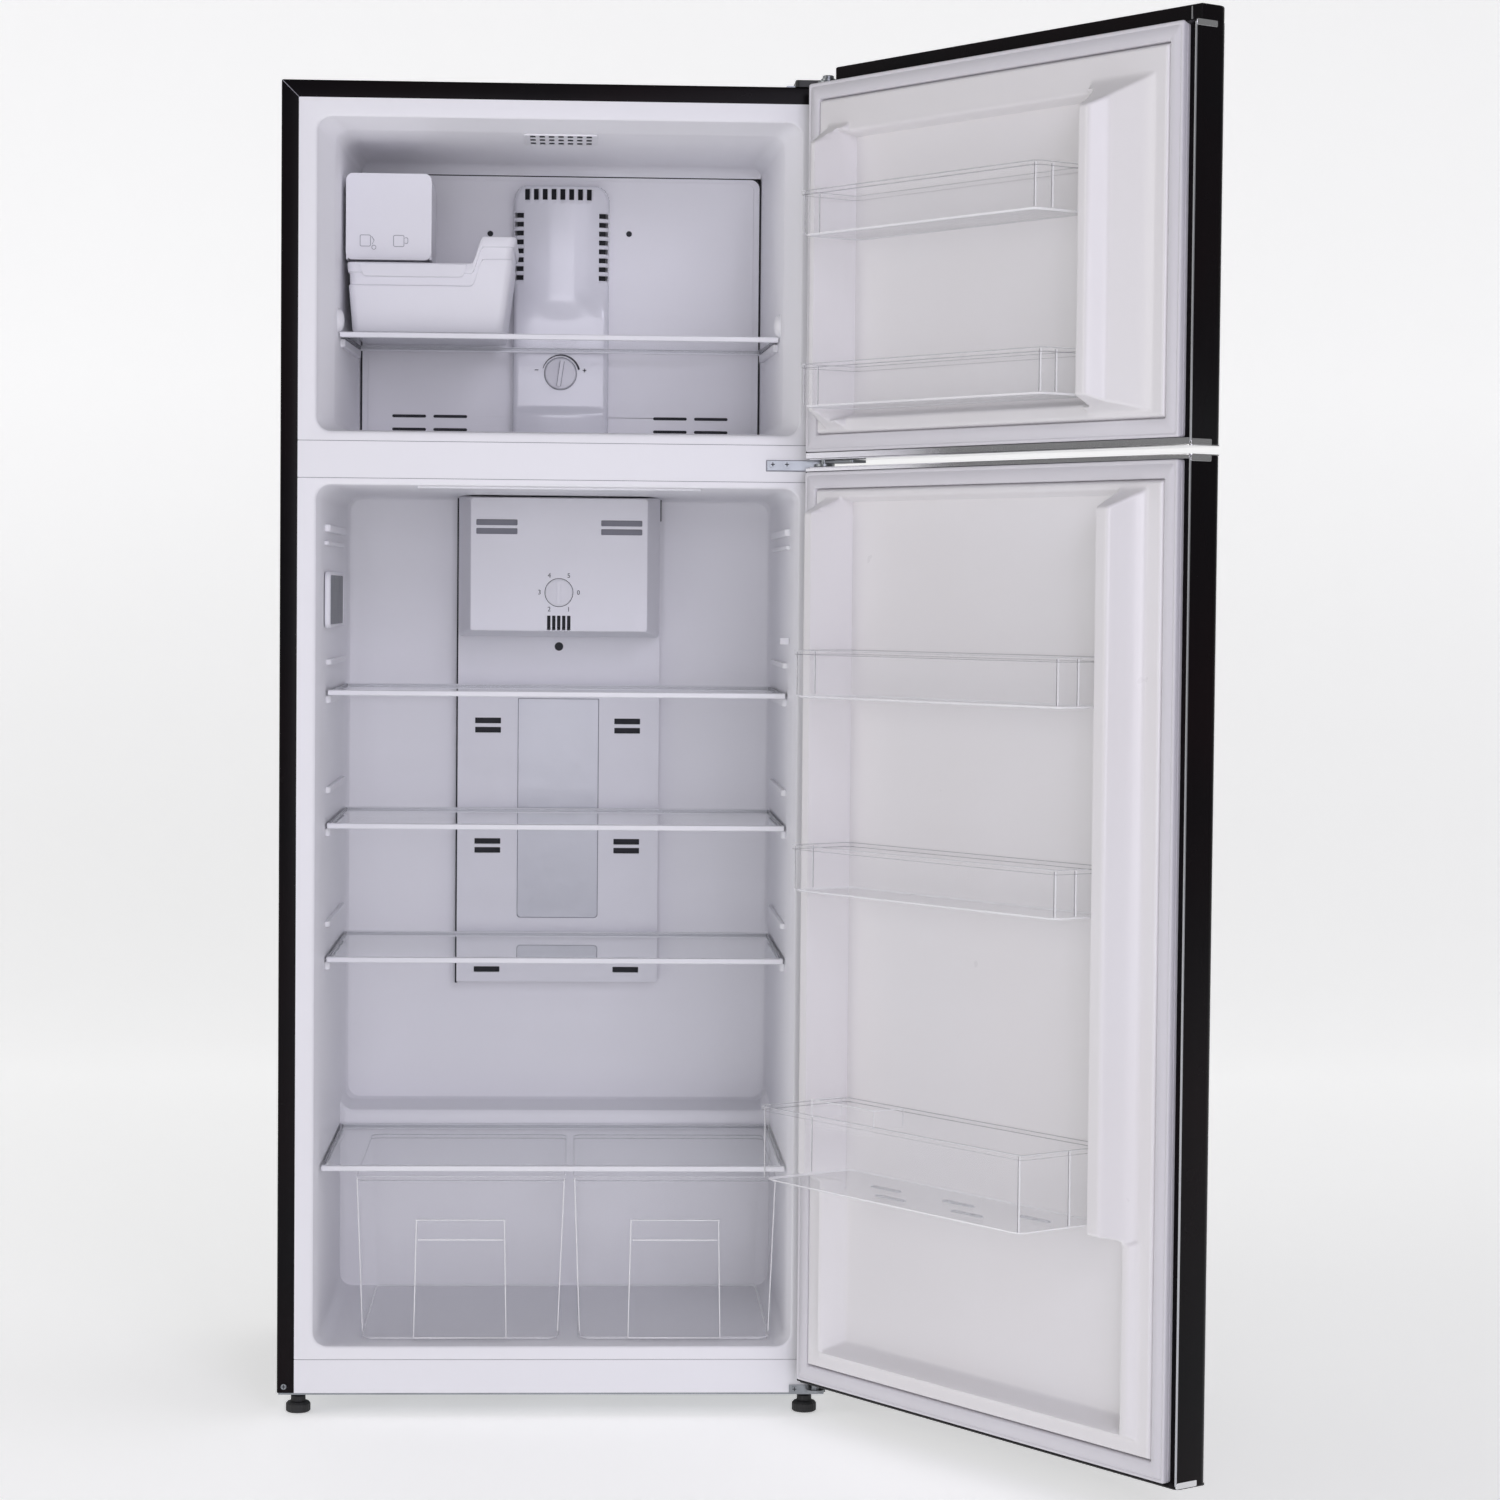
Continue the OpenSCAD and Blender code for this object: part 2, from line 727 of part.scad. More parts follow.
// Pocket between the dykes, grown by g; rows of [half widths at floor and rim]
module pocket(x_floor, x_rim, z_floor, z_rim, g) {
    hull() {
        span([x_floor[0] - g, deep(-pocket_d - g), z_floor[0] - g],
             [x_floor[1] + g, deep(-pocket_d - g + eps), z_floor[1] + g]);
        span([x_rim[0] - g, deep(dyke_d + 5), z_rim[0] - g],
             [x_rim[1] + g, deep(dyke_d + 5 + eps), z_rim[1] + g]);
    }
}

// One vertical dyke: base footprint to top footprint, shrunk by g
module dyke(base, top, z_base, z_top, depth, g) {
    hull() {
        span([base[0] + g, deep(-plateau - g - 1), z_base[0] + g],
             [base[1] - g, deep(-plateau - g), z_base[1] - g]);
        span([top[0] + g, deep(depth - g - eps), z_top[0] + g],
             [top[1] - g, deep(depth - g), z_top[1] - g]);
    }
}

// Raised field of the liner inside the gasket, shrunk by g
module plateau_block(z, g) {
    x = gasket_half - gasket_w - 2;
    span([-x + g, deep(-door_back - g / 2), z[0] + gasket_w + 2 + g],
         [x - g, deep(-plateau - g), z[1] - gasket_w - 2 - g]);
}

module freezer_form(g) {
    z = freezer_gasket_z;
    plateau_block(z, g);
    dyke([264, 301], [275, 284], [1256, 1632], [1280, 1608], dyke_d, g);
    dyke([-288, -180], [-218, -198], [1256, 1632], [1280, 1608], dyke_d, g);
}

module freezer_pocket(g) {
    pocket([-188, 268], [-196, 276], [1274, 1617], [1262, 1628], g);
}

module fridge_form(g) {
    plateau_block(fridge_gasket_z, g);
    dyke([262, 302], [274, 293], [310, 1170], [322, 1150], dyke_d, g);
    dyke([-282, -232], [-259, -241], [310, 1170], [322, 1150], dyke_d, g);
    dyke([-288, 302], [-278, 296], [90, 316], [96, 316], 10, g);
}

module fridge_pocket(g) {
    pocket([-235, 268], [-240, 274], [300, 1167], [290, 1176], g);
    pocket([-243, 262], [-268, 292], [110, 317], [86, 317], g);
}

// Liner: gasket flange, raised field, dykes and the walls of the pocket
module liner_skin(z, which) {
    difference() {
        union() {
            span([-gasket_half, deep(-door_back), z[0]], [gasket_half, deep(-door_back + 1.5), z[1]]);
            door_form(which, 0);
            intersection() {
                door_pocket(which, liner_t);
                span([-half, deep(-40), z[0] + 30], [half, deep(-plateau), z[1] - 18]);
            }
        }
        door_pocket(which, 0);
        difference() {
            door_form(which, liner_t);
            door_pocket(which, liner_t);
        }
    }
}

module door_form(which, g) {
    if (which == 0) freezer_form(g);
    if (which == 1) fridge_form(g);
}

module door_pocket(which, g) {
    if (which == 0) freezer_pocket(g);
    if (which == 1) fridge_pocket(g);
}

// Foam core: fills the door body between the caps and behind the liner
module foam_core(z, which) {
    difference() {
        union() {
            translate([0, 0, z[0]]) linear_extrude(z[1] - z[0]) intersection() {
                door_plan(skin);
                translate([-half, deep(-60)]) square([2 * half, 60 - door_back - skin]);
            }
            span([-gasket_half, deep(-door_back - 2 * skin), z[0]],
                 [gasket_half, deep(-door_back), z[1]]);
            intersection() {
                door_form(which, liner_t);
                span([-half, deep(-door_back), z[0]], [half, deep(60), z[1]]);
            }
        }
        door_pocket(which, liner_t);
    }
}

module gasket(z) {
    x = gasket_half;
    color(white) difference() {
        span([-x, deep(-door_back + 1.5), z[0]], [x, deep(-gasket_face), z[1]]);
        span([-x + gasket_w, deep(-door_back), z[0] + gasket_w],
             [x - gasket_w, deep(0), z[1] - gasket_w]);
    }
}

// End cap between the skin's sides, with the bush that turns on the hinge pin
module end_cap(z, bush_z) {
    difference() {
        translate([0, 0, z[0]]) linear_extrude(z[1] - z[0]) intersection() {
            door_plan(skin);
            translate([-half, deep(-60)]) square([2 * half, 60 - door_back - skin]);
        }
        translate([hinge_x, hinge_y, bush_z[0]]) cylinder(h = bush_z[1] - bush_z[0], r = pin_r + fit);
    }
}

cap_h = 26;
top_cap_h = 32;             // taller, because it also stands over the hinge plate

module freezer_door_skin() {
    color(black) on_door() difference() {
        skin_body(freezer_door_z);
        hinge_notch(freezer_gasket_z[1] + 2);
    }
}

module freezer_door_foam() {
    color("khaki") on_door()
        foam_core([freezer_door_z[0] + cap_h, freezer_door_z[1] - top_cap_h], 0);
}

module freezer_door_liner() {
    color(white) on_door() liner_skin(freezer_gasket_z, 0);
}

module freezer_gasket() {
    on_door() gasket(freezer_gasket_z);
}

module freezer_door_top_cap() {
    color(black) on_door() difference() {
        end_cap([freezer_door_z[1] - top_cap_h, freezer_door_z[1]], [cab_top - 14, cab_top]);
        hinge_notch(freezer_gasket_z[1] + 2);
    }
}

module freezer_door_bottom_cap() {
    z = freezer_door_z[0];
    color(zinc) on_door() end_cap([z, z + cap_h], [z - 1, z + 18]);
}

module fridge_door_skin() {
    color(black) on_door() skin_body(fridge_door_z);
}

module fridge_door_foam() {
    color("khaki") on_door() foam_core([fridge_door_z[0] + cap_h, fridge_door_z[1] - cap_h], 1);
}

module fridge_door_liner() {
    color(white) on_door() liner_skin(fridge_gasket_z, 1);
}

module fridge_gasket() {
    on_door() gasket(fridge_gasket_z);
}

module fridge_door_top_cap() {
    z = fridge_door_z[1];
    color(zinc) on_door() end_cap([z - cap_h, z], [z - 15, z + 1]);
}

module fridge_door_bottom_cap() {
    z = fridge_door_z[0];
    color(black) on_door() end_cap([z, z + cap_h], [z - 1, z + 24]);
}

// ---- door racks ----------------------------------------------------------

rack_back = -17;            // rear of a rack, inside the liner's pocket

module rack(x, depth, z) {
    color(clear) on_door()
        mirror([0, 1, 0]) tray(x, [-deep(depth), -deep(rack_back)], z, 4, 2.5, 2.5);
}

module freezer_rack_upper() rack([-170, 265], 72, [1487, 1543]);
module freezer_rack_lower() rack([-180, 265], 70, [1278, 1332]);
module door_rack_upper() rack([-224, 265], 77, [922, 981]);
module door_rack_middle() rack([-224, 265], 77, [683, 741]);
module bottle_rack() rack([-222, 264], 122, [329, 421]);

// Clip that hooks over the bottle rack's front wall and slides along it;
// its two fingers hold a bottle back
module bottle_clip() {
    x = [48, 168];
    color(clear) on_door() {
        difference() {
            span([x[0], deep(116), 408], [x[1], deep(125), 440]);
            span([x[0] - 1, deep(118.5), 400], [x[1] + 1, deep(123), 423]);
            span([x[0] - 1, deep(118.5), 425], [x[1] + 1, deep(126), 441]);
        }
        for (i = [0, 1]) span([x[i] - 2.5 * i, deep(70), 416], [x[i] - 2.5 * i + 2.5, deep(117), 440]);
    }
}

// ---- display -------------------------------------------------------------

cabinet_shell();
cabinet_foam();
freezer_liner();
fridge_liner();
back_panel();
mullion_rail();
kick_rail();
base_plate();
compressor();
drip_tray();
machine_cover();
evaporator();
fan_motor();
evaporator_cover();
fan_duct_cover();
ice_maker_housing();
control_box();
air_duct_panel();
side_lamp_frame();
side_lamp_lens();
top_hinge();
hinge_cover();
middle_hinge();
bottom_hinge();
hinge_screws();
cord_gland();
evaporator_fan();
freezer_knob();
fridge_dial();
ice_tray();
ice_bin();
door_switch();
foot_left();
foot_right();
rear_rollers();
freezer_shelf();
shelf_1();
shelf_2();
shelf_3();
crisper_cover();
crisper_left();
crisper_right();
freezer_door_skin();
freezer_door_foam();
freezer_door_liner();
freezer_gasket();
freezer_door_top_cap();
freezer_door_bottom_cap();
fridge_door_skin();
fridge_door_foam();
fridge_door_liner();
fridge_gasket();
fridge_door_top_cap();
fridge_door_bottom_cap();
freezer_rack_upper();
freezer_rack_lower();
door_rack_upper();
door_rack_middle();
bottle_rack();
bottle_clip();
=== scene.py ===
import math

import bmesh
import bpy
from mathutils import Matrix, Vector


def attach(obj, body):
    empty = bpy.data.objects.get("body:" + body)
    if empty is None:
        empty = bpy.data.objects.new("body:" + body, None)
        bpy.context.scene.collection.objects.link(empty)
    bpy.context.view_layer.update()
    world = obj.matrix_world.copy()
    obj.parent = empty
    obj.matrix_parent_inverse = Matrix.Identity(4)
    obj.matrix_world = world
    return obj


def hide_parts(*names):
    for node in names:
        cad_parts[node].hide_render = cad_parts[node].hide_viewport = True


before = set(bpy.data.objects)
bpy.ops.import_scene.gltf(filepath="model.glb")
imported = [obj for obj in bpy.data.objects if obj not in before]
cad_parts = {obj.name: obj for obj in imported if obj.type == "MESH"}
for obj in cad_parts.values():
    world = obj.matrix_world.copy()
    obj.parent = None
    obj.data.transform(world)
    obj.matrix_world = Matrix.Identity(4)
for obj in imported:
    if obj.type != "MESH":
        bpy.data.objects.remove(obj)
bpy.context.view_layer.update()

# Two places, both in millimetres. CAB: x from the cabinet's centre, d back from its front face, z up
# from the floor. DOOR: the same numbers for a door while it is shut, turned to where it stands open.
DEPTH = 590
HINGE = (335, -26)
OPEN = 124.5
CAB = Matrix.Translation((0, -DEPTH / 2000, 0)) @ Matrix.Scale(0.001, 4)
DOOR = (
    CAB
    @ Matrix.Translation((HINGE[0], HINGE[1], 0))
    @ Matrix.Rotation(math.radians(OPEN), 4, "Z")
    @ Matrix.Translation((-HINGE[0], -HINGE[1], 0))
)


# ---- materials ------------------------------------------------------------


def material(name, color, vary=0.03, rough=0.4, rough_vary=0.05, metal=0.0, scale=30.0, bump=0.05,
             bump_scale=400.0, alpha=1.0, coat=0.0, specular=0.5, tint=None, stretch=(1, 1, 1)):
    """Procedural material: slow colour drift, uneven gloss and a fine surface grain."""
    mat = bpy.data.materials.new(name)
    mat.use_nodes = True
    nodes, links = mat.node_tree.nodes, mat.node_tree.links
    bsdf = nodes["Principled BSDF"]
    bsdf.inputs["Metallic"].default_value = metal
    bsdf.inputs["Alpha"].default_value = alpha
    bsdf.inputs["Coat Weight"].default_value = coat
    bsdf.inputs["Coat Roughness"].default_value = 0.06
    bsdf.inputs["Specular IOR Level"].default_value = specular
    coords = nodes.new("ShaderNodeTexCoord")
    place = nodes.new("ShaderNodeMapping")
    place.inputs["Scale"].default_value = stretch
    links.new(coords.outputs["Object"], place.inputs["Vector"])

    def cloud(size, detail):
        tex = nodes.new("ShaderNodeTexNoise")
        tex.inputs["Scale"].default_value = size
        tex.inputs["Detail"].default_value = detail
        links.new(place.outputs["Vector"], tex.inputs["Vector"])
        return tex

    drift = cloud(scale * 0.12, 3.0)
    ramp = nodes.new("ShaderNodeValToRGB")
    other = tint or [c * (1 - vary) for c in color]
    ramp.color_ramp.elements[0].position = 0.32
    ramp.color_ramp.elements[1].position = 0.68
    ramp.color_ramp.elements[0].color = (*other, 1)
    ramp.color_ramp.elements[1].color = (*color, 1)
    links.new(drift.outputs["Fac"], ramp.inputs["Fac"])
    links.new(ramp.outputs["Color"], bsdf.inputs["Base Color"])
    wear = cloud(scale, 4.0)
    span = nodes.new("ShaderNodeMapRange")
    span.inputs["To Min"].default_value = max(0.02, rough - rough_vary)
    span.inputs["To Max"].default_value = rough + rough_vary
    links.new(wear.outputs["Fac"], span.inputs["Value"])
    links.new(span.outputs["Result"], bsdf.inputs["Roughness"])
    grain = cloud(bump_scale, 2.0)
    relief = nodes.new("ShaderNodeBump")
    relief.inputs["Strength"].default_value = bump
    relief.inputs["Distance"].default_value = 0.0004
    links.new(grain.outputs["Fac"], relief.inputs["Height"])
    links.new(relief.outputs["Normal"], bsdf.inputs["Normal"])
    return mat


M = {
    # Gloss black paint: the base colour drifts at random between a bluish black and a maroon black; the
    # bluish black is a painted sheen.
    "black": material("gloss_black", (0.004, 0.004, 0.005), tint=(0.007, 0.004, 0.005), rough=0.26,
                      rough_vary=0.04, specular=0.10, bump=0.02, bump_scale=120),
    "liner": material("liner_white", (0.885, 0.88, 0.915), vary=0.015, rough=0.36, rough_vary=0.03,
                      bump=0.02),
    "door_liner": material("door_liner_white", (0.82, 0.805, 0.82), tint=(0.81, 0.79, 0.80), rough=0.3,
                           bump=0.03),
    "white": material("moulded_white", (0.82, 0.815, 0.86), vary=0.02, rough=0.34, bump=0.06,
                      bump_scale=900),
    "column": material("fan_cover_white", (0.83, 0.83, 0.88), vary=0.02, rough=0.2, rough_vary=0.03,
                       bump=0.04, coat=0.25),
    "trim": material("shelf_trim_white", (0.84, 0.84, 0.88), vary=0.02, rough=0.3, bump=0.04),
    "gasket": material("gasket_pale", (0.72, 0.705, 0.745), vary=0.03, rough=0.5, bump=0.05,
                       specular=0.3),
    "clear": material("clear_plastic", (0.98, 0.98, 1.0), vary=0.02, rough=0.08, rough_vary=0.02,
                      alpha=0.042, bump=0.02, specular=0.5),
    # Drawer floor: whiter and more opaque than the clear walls, a painted reflection that stands for the
    # bright light on the drawer floor.
    "tub": material("clear_plastic_floor", (0.95, 0.95, 1.0), vary=0.02, rough=0.12, rough_vary=0.03,
                    alpha=0.3, bump=0.02, specular=0.7),
    "edge": material("clear_plastic_edge", (0.50, 0.51, 0.55), vary=0.04, rough=0.1, rough_vary=0.03,
                     alpha=0.34, bump=0.02, specular=0.9),
    # Painted highlight: near-white, nearly opaque lines along clear plastic edges stand for the light they
    # reflect.
    "line": material("clear_plastic_painted_highlight", (0.98, 0.98, 1.0), vary=0.02, rough=0.1, rough_vary=0.02,
                     alpha=0.75, bump=0.02, specular=0.9),
    # Painted shade: dark, half-opaque lines along clear plastic edges stand for the shade in them.
    "seam": material("clear_plastic_painted_shade", (0.22, 0.22, 0.25), vary=0.04, rough=0.12, rough_vary=0.02,
                     alpha=0.5, bump=0.02, specular=0.9),
    "glass": material("shelf_glass", (0.72, 0.78, 0.80), vary=0.02, rough=0.05, rough_vary=0.02,
                      alpha=0.13, bump=0.01, specular=0.9),
    "glass_edge": material("glass_edge", (0.11, 0.12, 0.14), vary=0.08, rough=0.2, bump=0.02),
    "zinc": material("zinc_plate", (0.33, 0.35, 0.37), vary=0.25, rough=0.34, metal=0.85, bump=0.08,
                     bump_scale=250, scale=120),
    "chrome": material("bright_trim", (0.78, 0.78, 0.80), vary=0.02, rough=0.14, metal=1.0, bump=0.01),
    "silver": material("silver_strip", (0.55, 0.56, 0.59), vary=0.03, rough=0.3, metal=0.9, bump=0.03,
                       stretch=(1, 1, 0.05)),
    "rubber": material("black_rubber", (0.018, 0.018, 0.019), vary=0.1, rough=0.6, bump=0.25,
                       bump_scale=700),
    "plastic": material("black_plastic", (0.014, 0.014, 0.015), vary=0.1, rough=0.42, bump=0.15,
                        bump_scale=1200),
    "dark": material("slot_shadow", (0.035, 0.036, 0.042), vary=0.1, rough=0.8, bump=0.1),
    "grey": material("shadow_grey", (0.30, 0.30, 0.34), vary=0.05, rough=0.6, bump=0.05),
    "lens": material("smoked_lens", (0.035, 0.048, 0.056), vary=0.1, rough=0.3, bump=0.03, specular=0.2),
    "film": material("protective_film", (0.60, 0.61, 0.66), vary=0.06, rough=0.18, bump=0.6, bump_scale=45,
                     specular=0.7),
    "mark": material("printed_mark", (0.035, 0.035, 0.05), vary=0.1, rough=0.5, bump=0.02),
    "alu": material("bare_aluminium", (0.74, 0.75, 0.77), vary=0.05, rough=0.3, metal=1.0, bump=0.05),
    "can": material("satin_black_paint", (0.02, 0.02, 0.02), vary=0.1, rough=0.35, bump=0.05),
    "floor": material("studio_floor", (0.93, 0.93, 0.93), vary=0.005, rough=0.7, bump=0.0),
}


# ---- mesh helpers ---------------------------------------------------------


def arc(cx, cy, r, a0, a1, n):
    """Arc about (cx, cy) from a0 to a1 degrees, in n steps."""
    return [(cx + r * math.cos(math.radians(a0 + (a1 - a0) * k / n)),
             cy + r * math.sin(math.radians(a0 + (a1 - a0) * k / n))) for k in range(n + 1)]


def rr(x0, x1, y0, y1, r, n=5):
    """Rounded rectangle; r is one radius, or four, from the corner (x1, y0) round to (x0, y0)."""
    rs = r if isinstance(r, (list, tuple)) else (r, r, r, r)
    return (arc(x1 - rs[0], y0 + rs[0], rs[0], -90, 0, n) + arc(x1 - rs[1], y1 - rs[1], rs[1], 0, 90, n)
            + arc(x0 + rs[2], y1 - rs[2], rs[2], 90, 180, n)
            + arc(x0 + rs[3], y0 + rs[3], rs[3], 180, 270, n))


def circle(cx, cy, r, n=40):
    """Closed circle of n points."""
    return arc(cx, cy, r, 0, 360 - 360 / n, n - 1)


def in_d(loop, d):
    """Outline of (x, z) points set at depth d."""
    return [(x, d, z) for x, z in loop]


def in_z(loop, z):
    """Outline of (x, y) points set at height z."""
    return [(x, y, z) for x, y in loop]


def loft(loops, first=False, last=False, ring=True, cyclic=False):
    """Faces between neighbouring loops of the same length, and the band number of each face."""
    n = len(loops[0])
    verts = [p for loop in loops for p in loop]
    faces, band = [], []
    rows = len(loops) if cyclic else len(loops) - 1
    for i in range(rows):
        k = (i + 1) % len(loops)
        for j in range(n if ring else n - 1):
            m = (j + 1) % n
            faces.append((i * n + j, i * n + m, k * n + m, k * n + j))
            band.append(i)
    if first:
        faces.append(tuple(range(n))[::-1])
        band.append(0)
    if last:
        faces.append(tuple(range(len(verts) - n, len(verts))))
        band.append(rows - 1)
    return verts, faces, band


def join(*parts):
    """Several (verts, faces, band) as one."""
    verts, faces, band = [], [], []
    for v, f, b in parts:
        faces += [tuple(i + len(verts) for i in face) for face in f]
        verts += list(v)
        band += list(b)
    return verts, faces, band


def slab(loops, lo, hi, axis="d"):
    """Flat plate from outline loops (the first is the outside, the others are holes), lo to hi along axis."""
    bm = bmesh.new()
    edges = []
    for loop in loops:
        vs = [bm.verts.new((u, v, 0)) for u, v in loop]
        edges += [bm.edges.new((vs[i], vs[(i + 1) % len(vs)])) for i in range(len(vs))]
    bmesh.ops.triangle_fill(bm, use_beauty=True, use_dissolve=False, edges=edges)
    top = bmesh.ops.extrude_face_region(bm, geom=bm.faces[:])["geom"]
    for v in (g for g in top if isinstance(g, bmesh.types.BMVert)):
        v.co.z = 1
    order = {"d": lambda u, v, t: (u, t, v), "z": lambda u, v, t: (u, v, t),
             "x": lambda u, v, t: (t, u, v)}[axis]
    bm.verts.index_update()
    verts = [order(v.co.x, v.co.y, lo + (hi - lo) * v.co.z) for v in bm.verts]
    faces = [tuple(v.index for v in f.verts) for f in bm.faces]
    bm.free()
    return verts, faces, [0] * len(faces)


def lathe(profile, center, axis="d", n=48, flute=0.0, flutes=24):
    """Profile of (radius, height along axis) turned about the axis through center."""
    cx, cy, cz = center
    loops = []
    for r, h in profile:
        loop = []
        for k in range(n):
            a = 2 * math.pi * k / n
            q = r * (1 + (flute * (math.cos(a * flutes) > 0) if r > 4 else 0))
            u, v = q * math.cos(a), q * math.sin(a)
            loop.append({"d": (cx + u, cy + h, cz + v), "z": (cx + u, cy + v, cz + h),
                         "x": (cx + h, cy + u, cz + v)}[axis])
        loops.append(loop)
    return loft(loops, first=profile[0][0] > 0.01, last=profile[-1][0] > 0.01)


def tube(path, r, n=8):
    """Round wire through the points of path."""
    loops = []
    turns = [2 * math.pi * k / n for k in range(n)]
    for i, p in enumerate(path):
        p = Vector(p)
        t = (Vector(path[min(i + 1, len(path) - 1)]) - Vector(path[max(i - 1, 0)])).normalized()
        side = t.cross(Vector((0.13, 0.2, 1))).normalized()
        up = t.cross(side)
        loops.append([tuple(p + r * (math.cos(a) * side + math.sin(a) * up)) for a in turns])
    return loft(loops, True, True)


def piece(name, shape, mats, place=CAB, body="cabinet", replace=(), bevel=0.0, seg=2, thick=0.0, sharp=32,
          weld=0.01, turn=True):
    """Puts a shape in the scene as one finished object that rides on a body."""
    verts, faces, band = shape
    mats = [mats] if isinstance(mats, str) else list(mats)
    mesh = bpy.data.meshes.new(name)
    mesh.from_pydata([tuple(v) for v in verts], [], faces)
    bm = bmesh.new()
    bm.from_mesh(mesh)
    bm.faces.ensure_lookup_table()
    if len(mats) > 1:
        for f, b in zip(bm.faces, band):
            f.material_index = min(b, len(mats) - 1)
    bmesh.ops.remove_doubles(bm, verts=bm.verts, dist=weld)
    if turn:
        bmesh.ops.recalc_face_normals(bm, faces=bm.faces)
    bm.to_mesh(mesh)
    bm.free()
    mesh.transform(place)
    mesh.polygons.foreach_set("use_smooth", [True] * len(mesh.polygons))
    mesh.set_sharp_from_angle(angle=math.radians(sharp))
    obj = bpy.data.objects.new(name, mesh)
    bpy.context.scene.collection.objects.link(obj)
    for key in mats:
        mesh.materials.append(M[key])
    if thick:
        mod = obj.modifiers.new("wall", "SOLIDIFY")
        mod.thickness = thick / 1000
        mod.offset = -1
    if bevel:
        mod = obj.modifiers.new("edge", "BEVEL")
        mod.width = bevel / 1000
        mod.segments = seg
        mod.limit_method = "ANGLE"
        mod.angle_limit = math.radians(38)
        mod.harden_normals = False
    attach(obj, body)
    if replace:
        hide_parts(*([replace] if isinstance(replace, str) else replace))
    return obj


def lerp(points, t):
    """Piecewise straight line through points of (t, value)."""
    if t <= points[0][0]:
        return points[0][1]
    for (a, u), (b, v) in zip(points, points[1:]):
        if t <= b:
            return u + (v - u) * (t - a) / (b - a)
    return points[-1][1]


def soft_max(a, b, k):
    """Larger of a and b, blended over the width k where they cross."""
    h = max(k - abs(a - b), 0) / k
    return max(a, b) + h * h * k / 4


def soft_min(a, b, k):
    """Smaller of a and b, blended in the same way."""
    return -soft_max(-a, -b, k)


# ---- camera, light and floor ---------------------------------------------


def look(pos, yaw, pitch, roll, lens):
    """Camera at pos in metres, aimed by angles in radians."""
    fwd = Vector((math.sin(yaw) * math.cos(pitch), math.cos(yaw) * math.cos(pitch), math.sin(pitch)))
    side = Vector((math.cos(yaw), -math.sin(yaw), 0))
    down = fwd.cross(side)
    right = side * math.cos(roll) + down * math.sin(roll)
    under = down * math.cos(roll) - side * math.sin(roll)
    cam = bpy.data.cameras.new("camera")
    cam.lens, cam.sensor_width = lens, 36
    cam.clip_end = 100
    obj = bpy.data.objects.new("camera", cam)
    bpy.context.scene.collection.objects.link(obj)
    m = Matrix((right, -under, -fwd)).transposed().to_4x4()
    obj.matrix_world = Matrix.Translation(pos) @ m
    bpy.context.scene.camera = obj


look((0.0248, -4.9115, 1.0459), 0.0478, -0.0421, -0.0093, 3640.5 * 36 / 1500)


def area_light(name, pos, target, size, power, color=(1, 1, 1)):
    """Rectangular lamp at pos that faces target."""
    data = bpy.data.lights.new(name, "AREA")
    data.shape, data.size, data.size_y = "RECTANGLE", size[0], size[1]
    data.energy, data.color = power, color
    obj = bpy.data.objects.new(name, data)
    bpy.context.scene.collection.objects.link(obj)
    obj.location = pos
    obj.rotation_euler = (Vector(target) - Vector(pos)).to_track_quat("-Z", "Y").to_euler()


area_light("key_right", (1.5, -5.2, 2.9), (0, 0, 0.9), (1.4, 1.4), 42, (0.88, 0.85, 1.0))
area_light("fill_left", (-4.7, -1.8, 1.9), (0.4, -0.5, 0.9), (2.2, 2.6), 44, (1.0, 0.985, 0.95))
area_light("fill_front", (0.1, -5.8, 1.2), (0, 0, 0.8), (2.0, 1.8), 52, (0.91, 0.89, 1.0))
SKY_LIGHT, SKY_SEEN, FLOOR_GLOW = 0.22, 0.92, 0.42
world = bpy.data.worlds.new("studio")
bpy.context.scene.world = world
world.use_nodes = True
sky = world.node_tree.nodes["Background"]
sky.inputs["Color"].default_value = (1.0, 1.0, 1.0, 1)
rays = world.node_tree.nodes.new("ShaderNodeLightPath")
strength = world.node_tree.nodes.new("ShaderNodeMath")  # a dim light, but a pale background
strength.operation = "MULTIPLY_ADD"
strength.inputs[1].default_value = SKY_SEEN - SKY_LIGHT
strength.inputs[2].default_value = SKY_LIGHT
world.node_tree.links.new(rays.outputs["Is Camera Ray"], strength.inputs[0])
world.node_tree.links.new(strength.outputs[0], sky.inputs["Strength"])
bpy.context.scene.view_settings.view_transform = "Standard"
bpy.context.scene.cycles.transparent_max_bounces = 32  # a view through a drawer crosses many clear walls

floor_mesh = bpy.data.meshes.new("studio_floor")
floor_rows = [(-7.0, 0.0), (3.0, 0.0)] + [(3.0 + 1.6 * math.sin(a * 0.196), 1.6 - 1.6 * math.cos(a * 0.196))
                                          for a in range(1, 9)] + [(4.6, 6.0)]
floor_mesh.from_pydata(*[[(sx * 9.0, y, z - 0.0005) for y, z in floor_rows for sx in (-1, 1)], [],
                         [(2 * i, 2 * i + 1, 2 * i + 3, 2 * i + 2) for i in range(len(floor_rows) - 1)]])
floor = bpy.data.objects.new("studio_floor", floor_mesh)
glow = M["floor"].node_tree.nodes["Principled BSDF"]
glow.inputs["Emission Color"].default_value = (1, 1, 1, 1)
glow.inputs["Emission Strength"].default_value = FLOOR_GLOW
nodes, links = M["floor"].node_tree.nodes, M["floor"].node_tree.links
surface = nodes["Material Output"].inputs["Surface"]
one_sided = nodes.new("ShaderNodeMixShader")
see_through = nodes.new("ShaderNodeBsdfTransparent")
sides = nodes.new("ShaderNodeNewGeometry")
links.new(sides.outputs["Backfacing"], one_sided.inputs[0])  # the backdrop hides nothing from behind
links.new(surface.links[0].from_socket, one_sided.inputs[1])
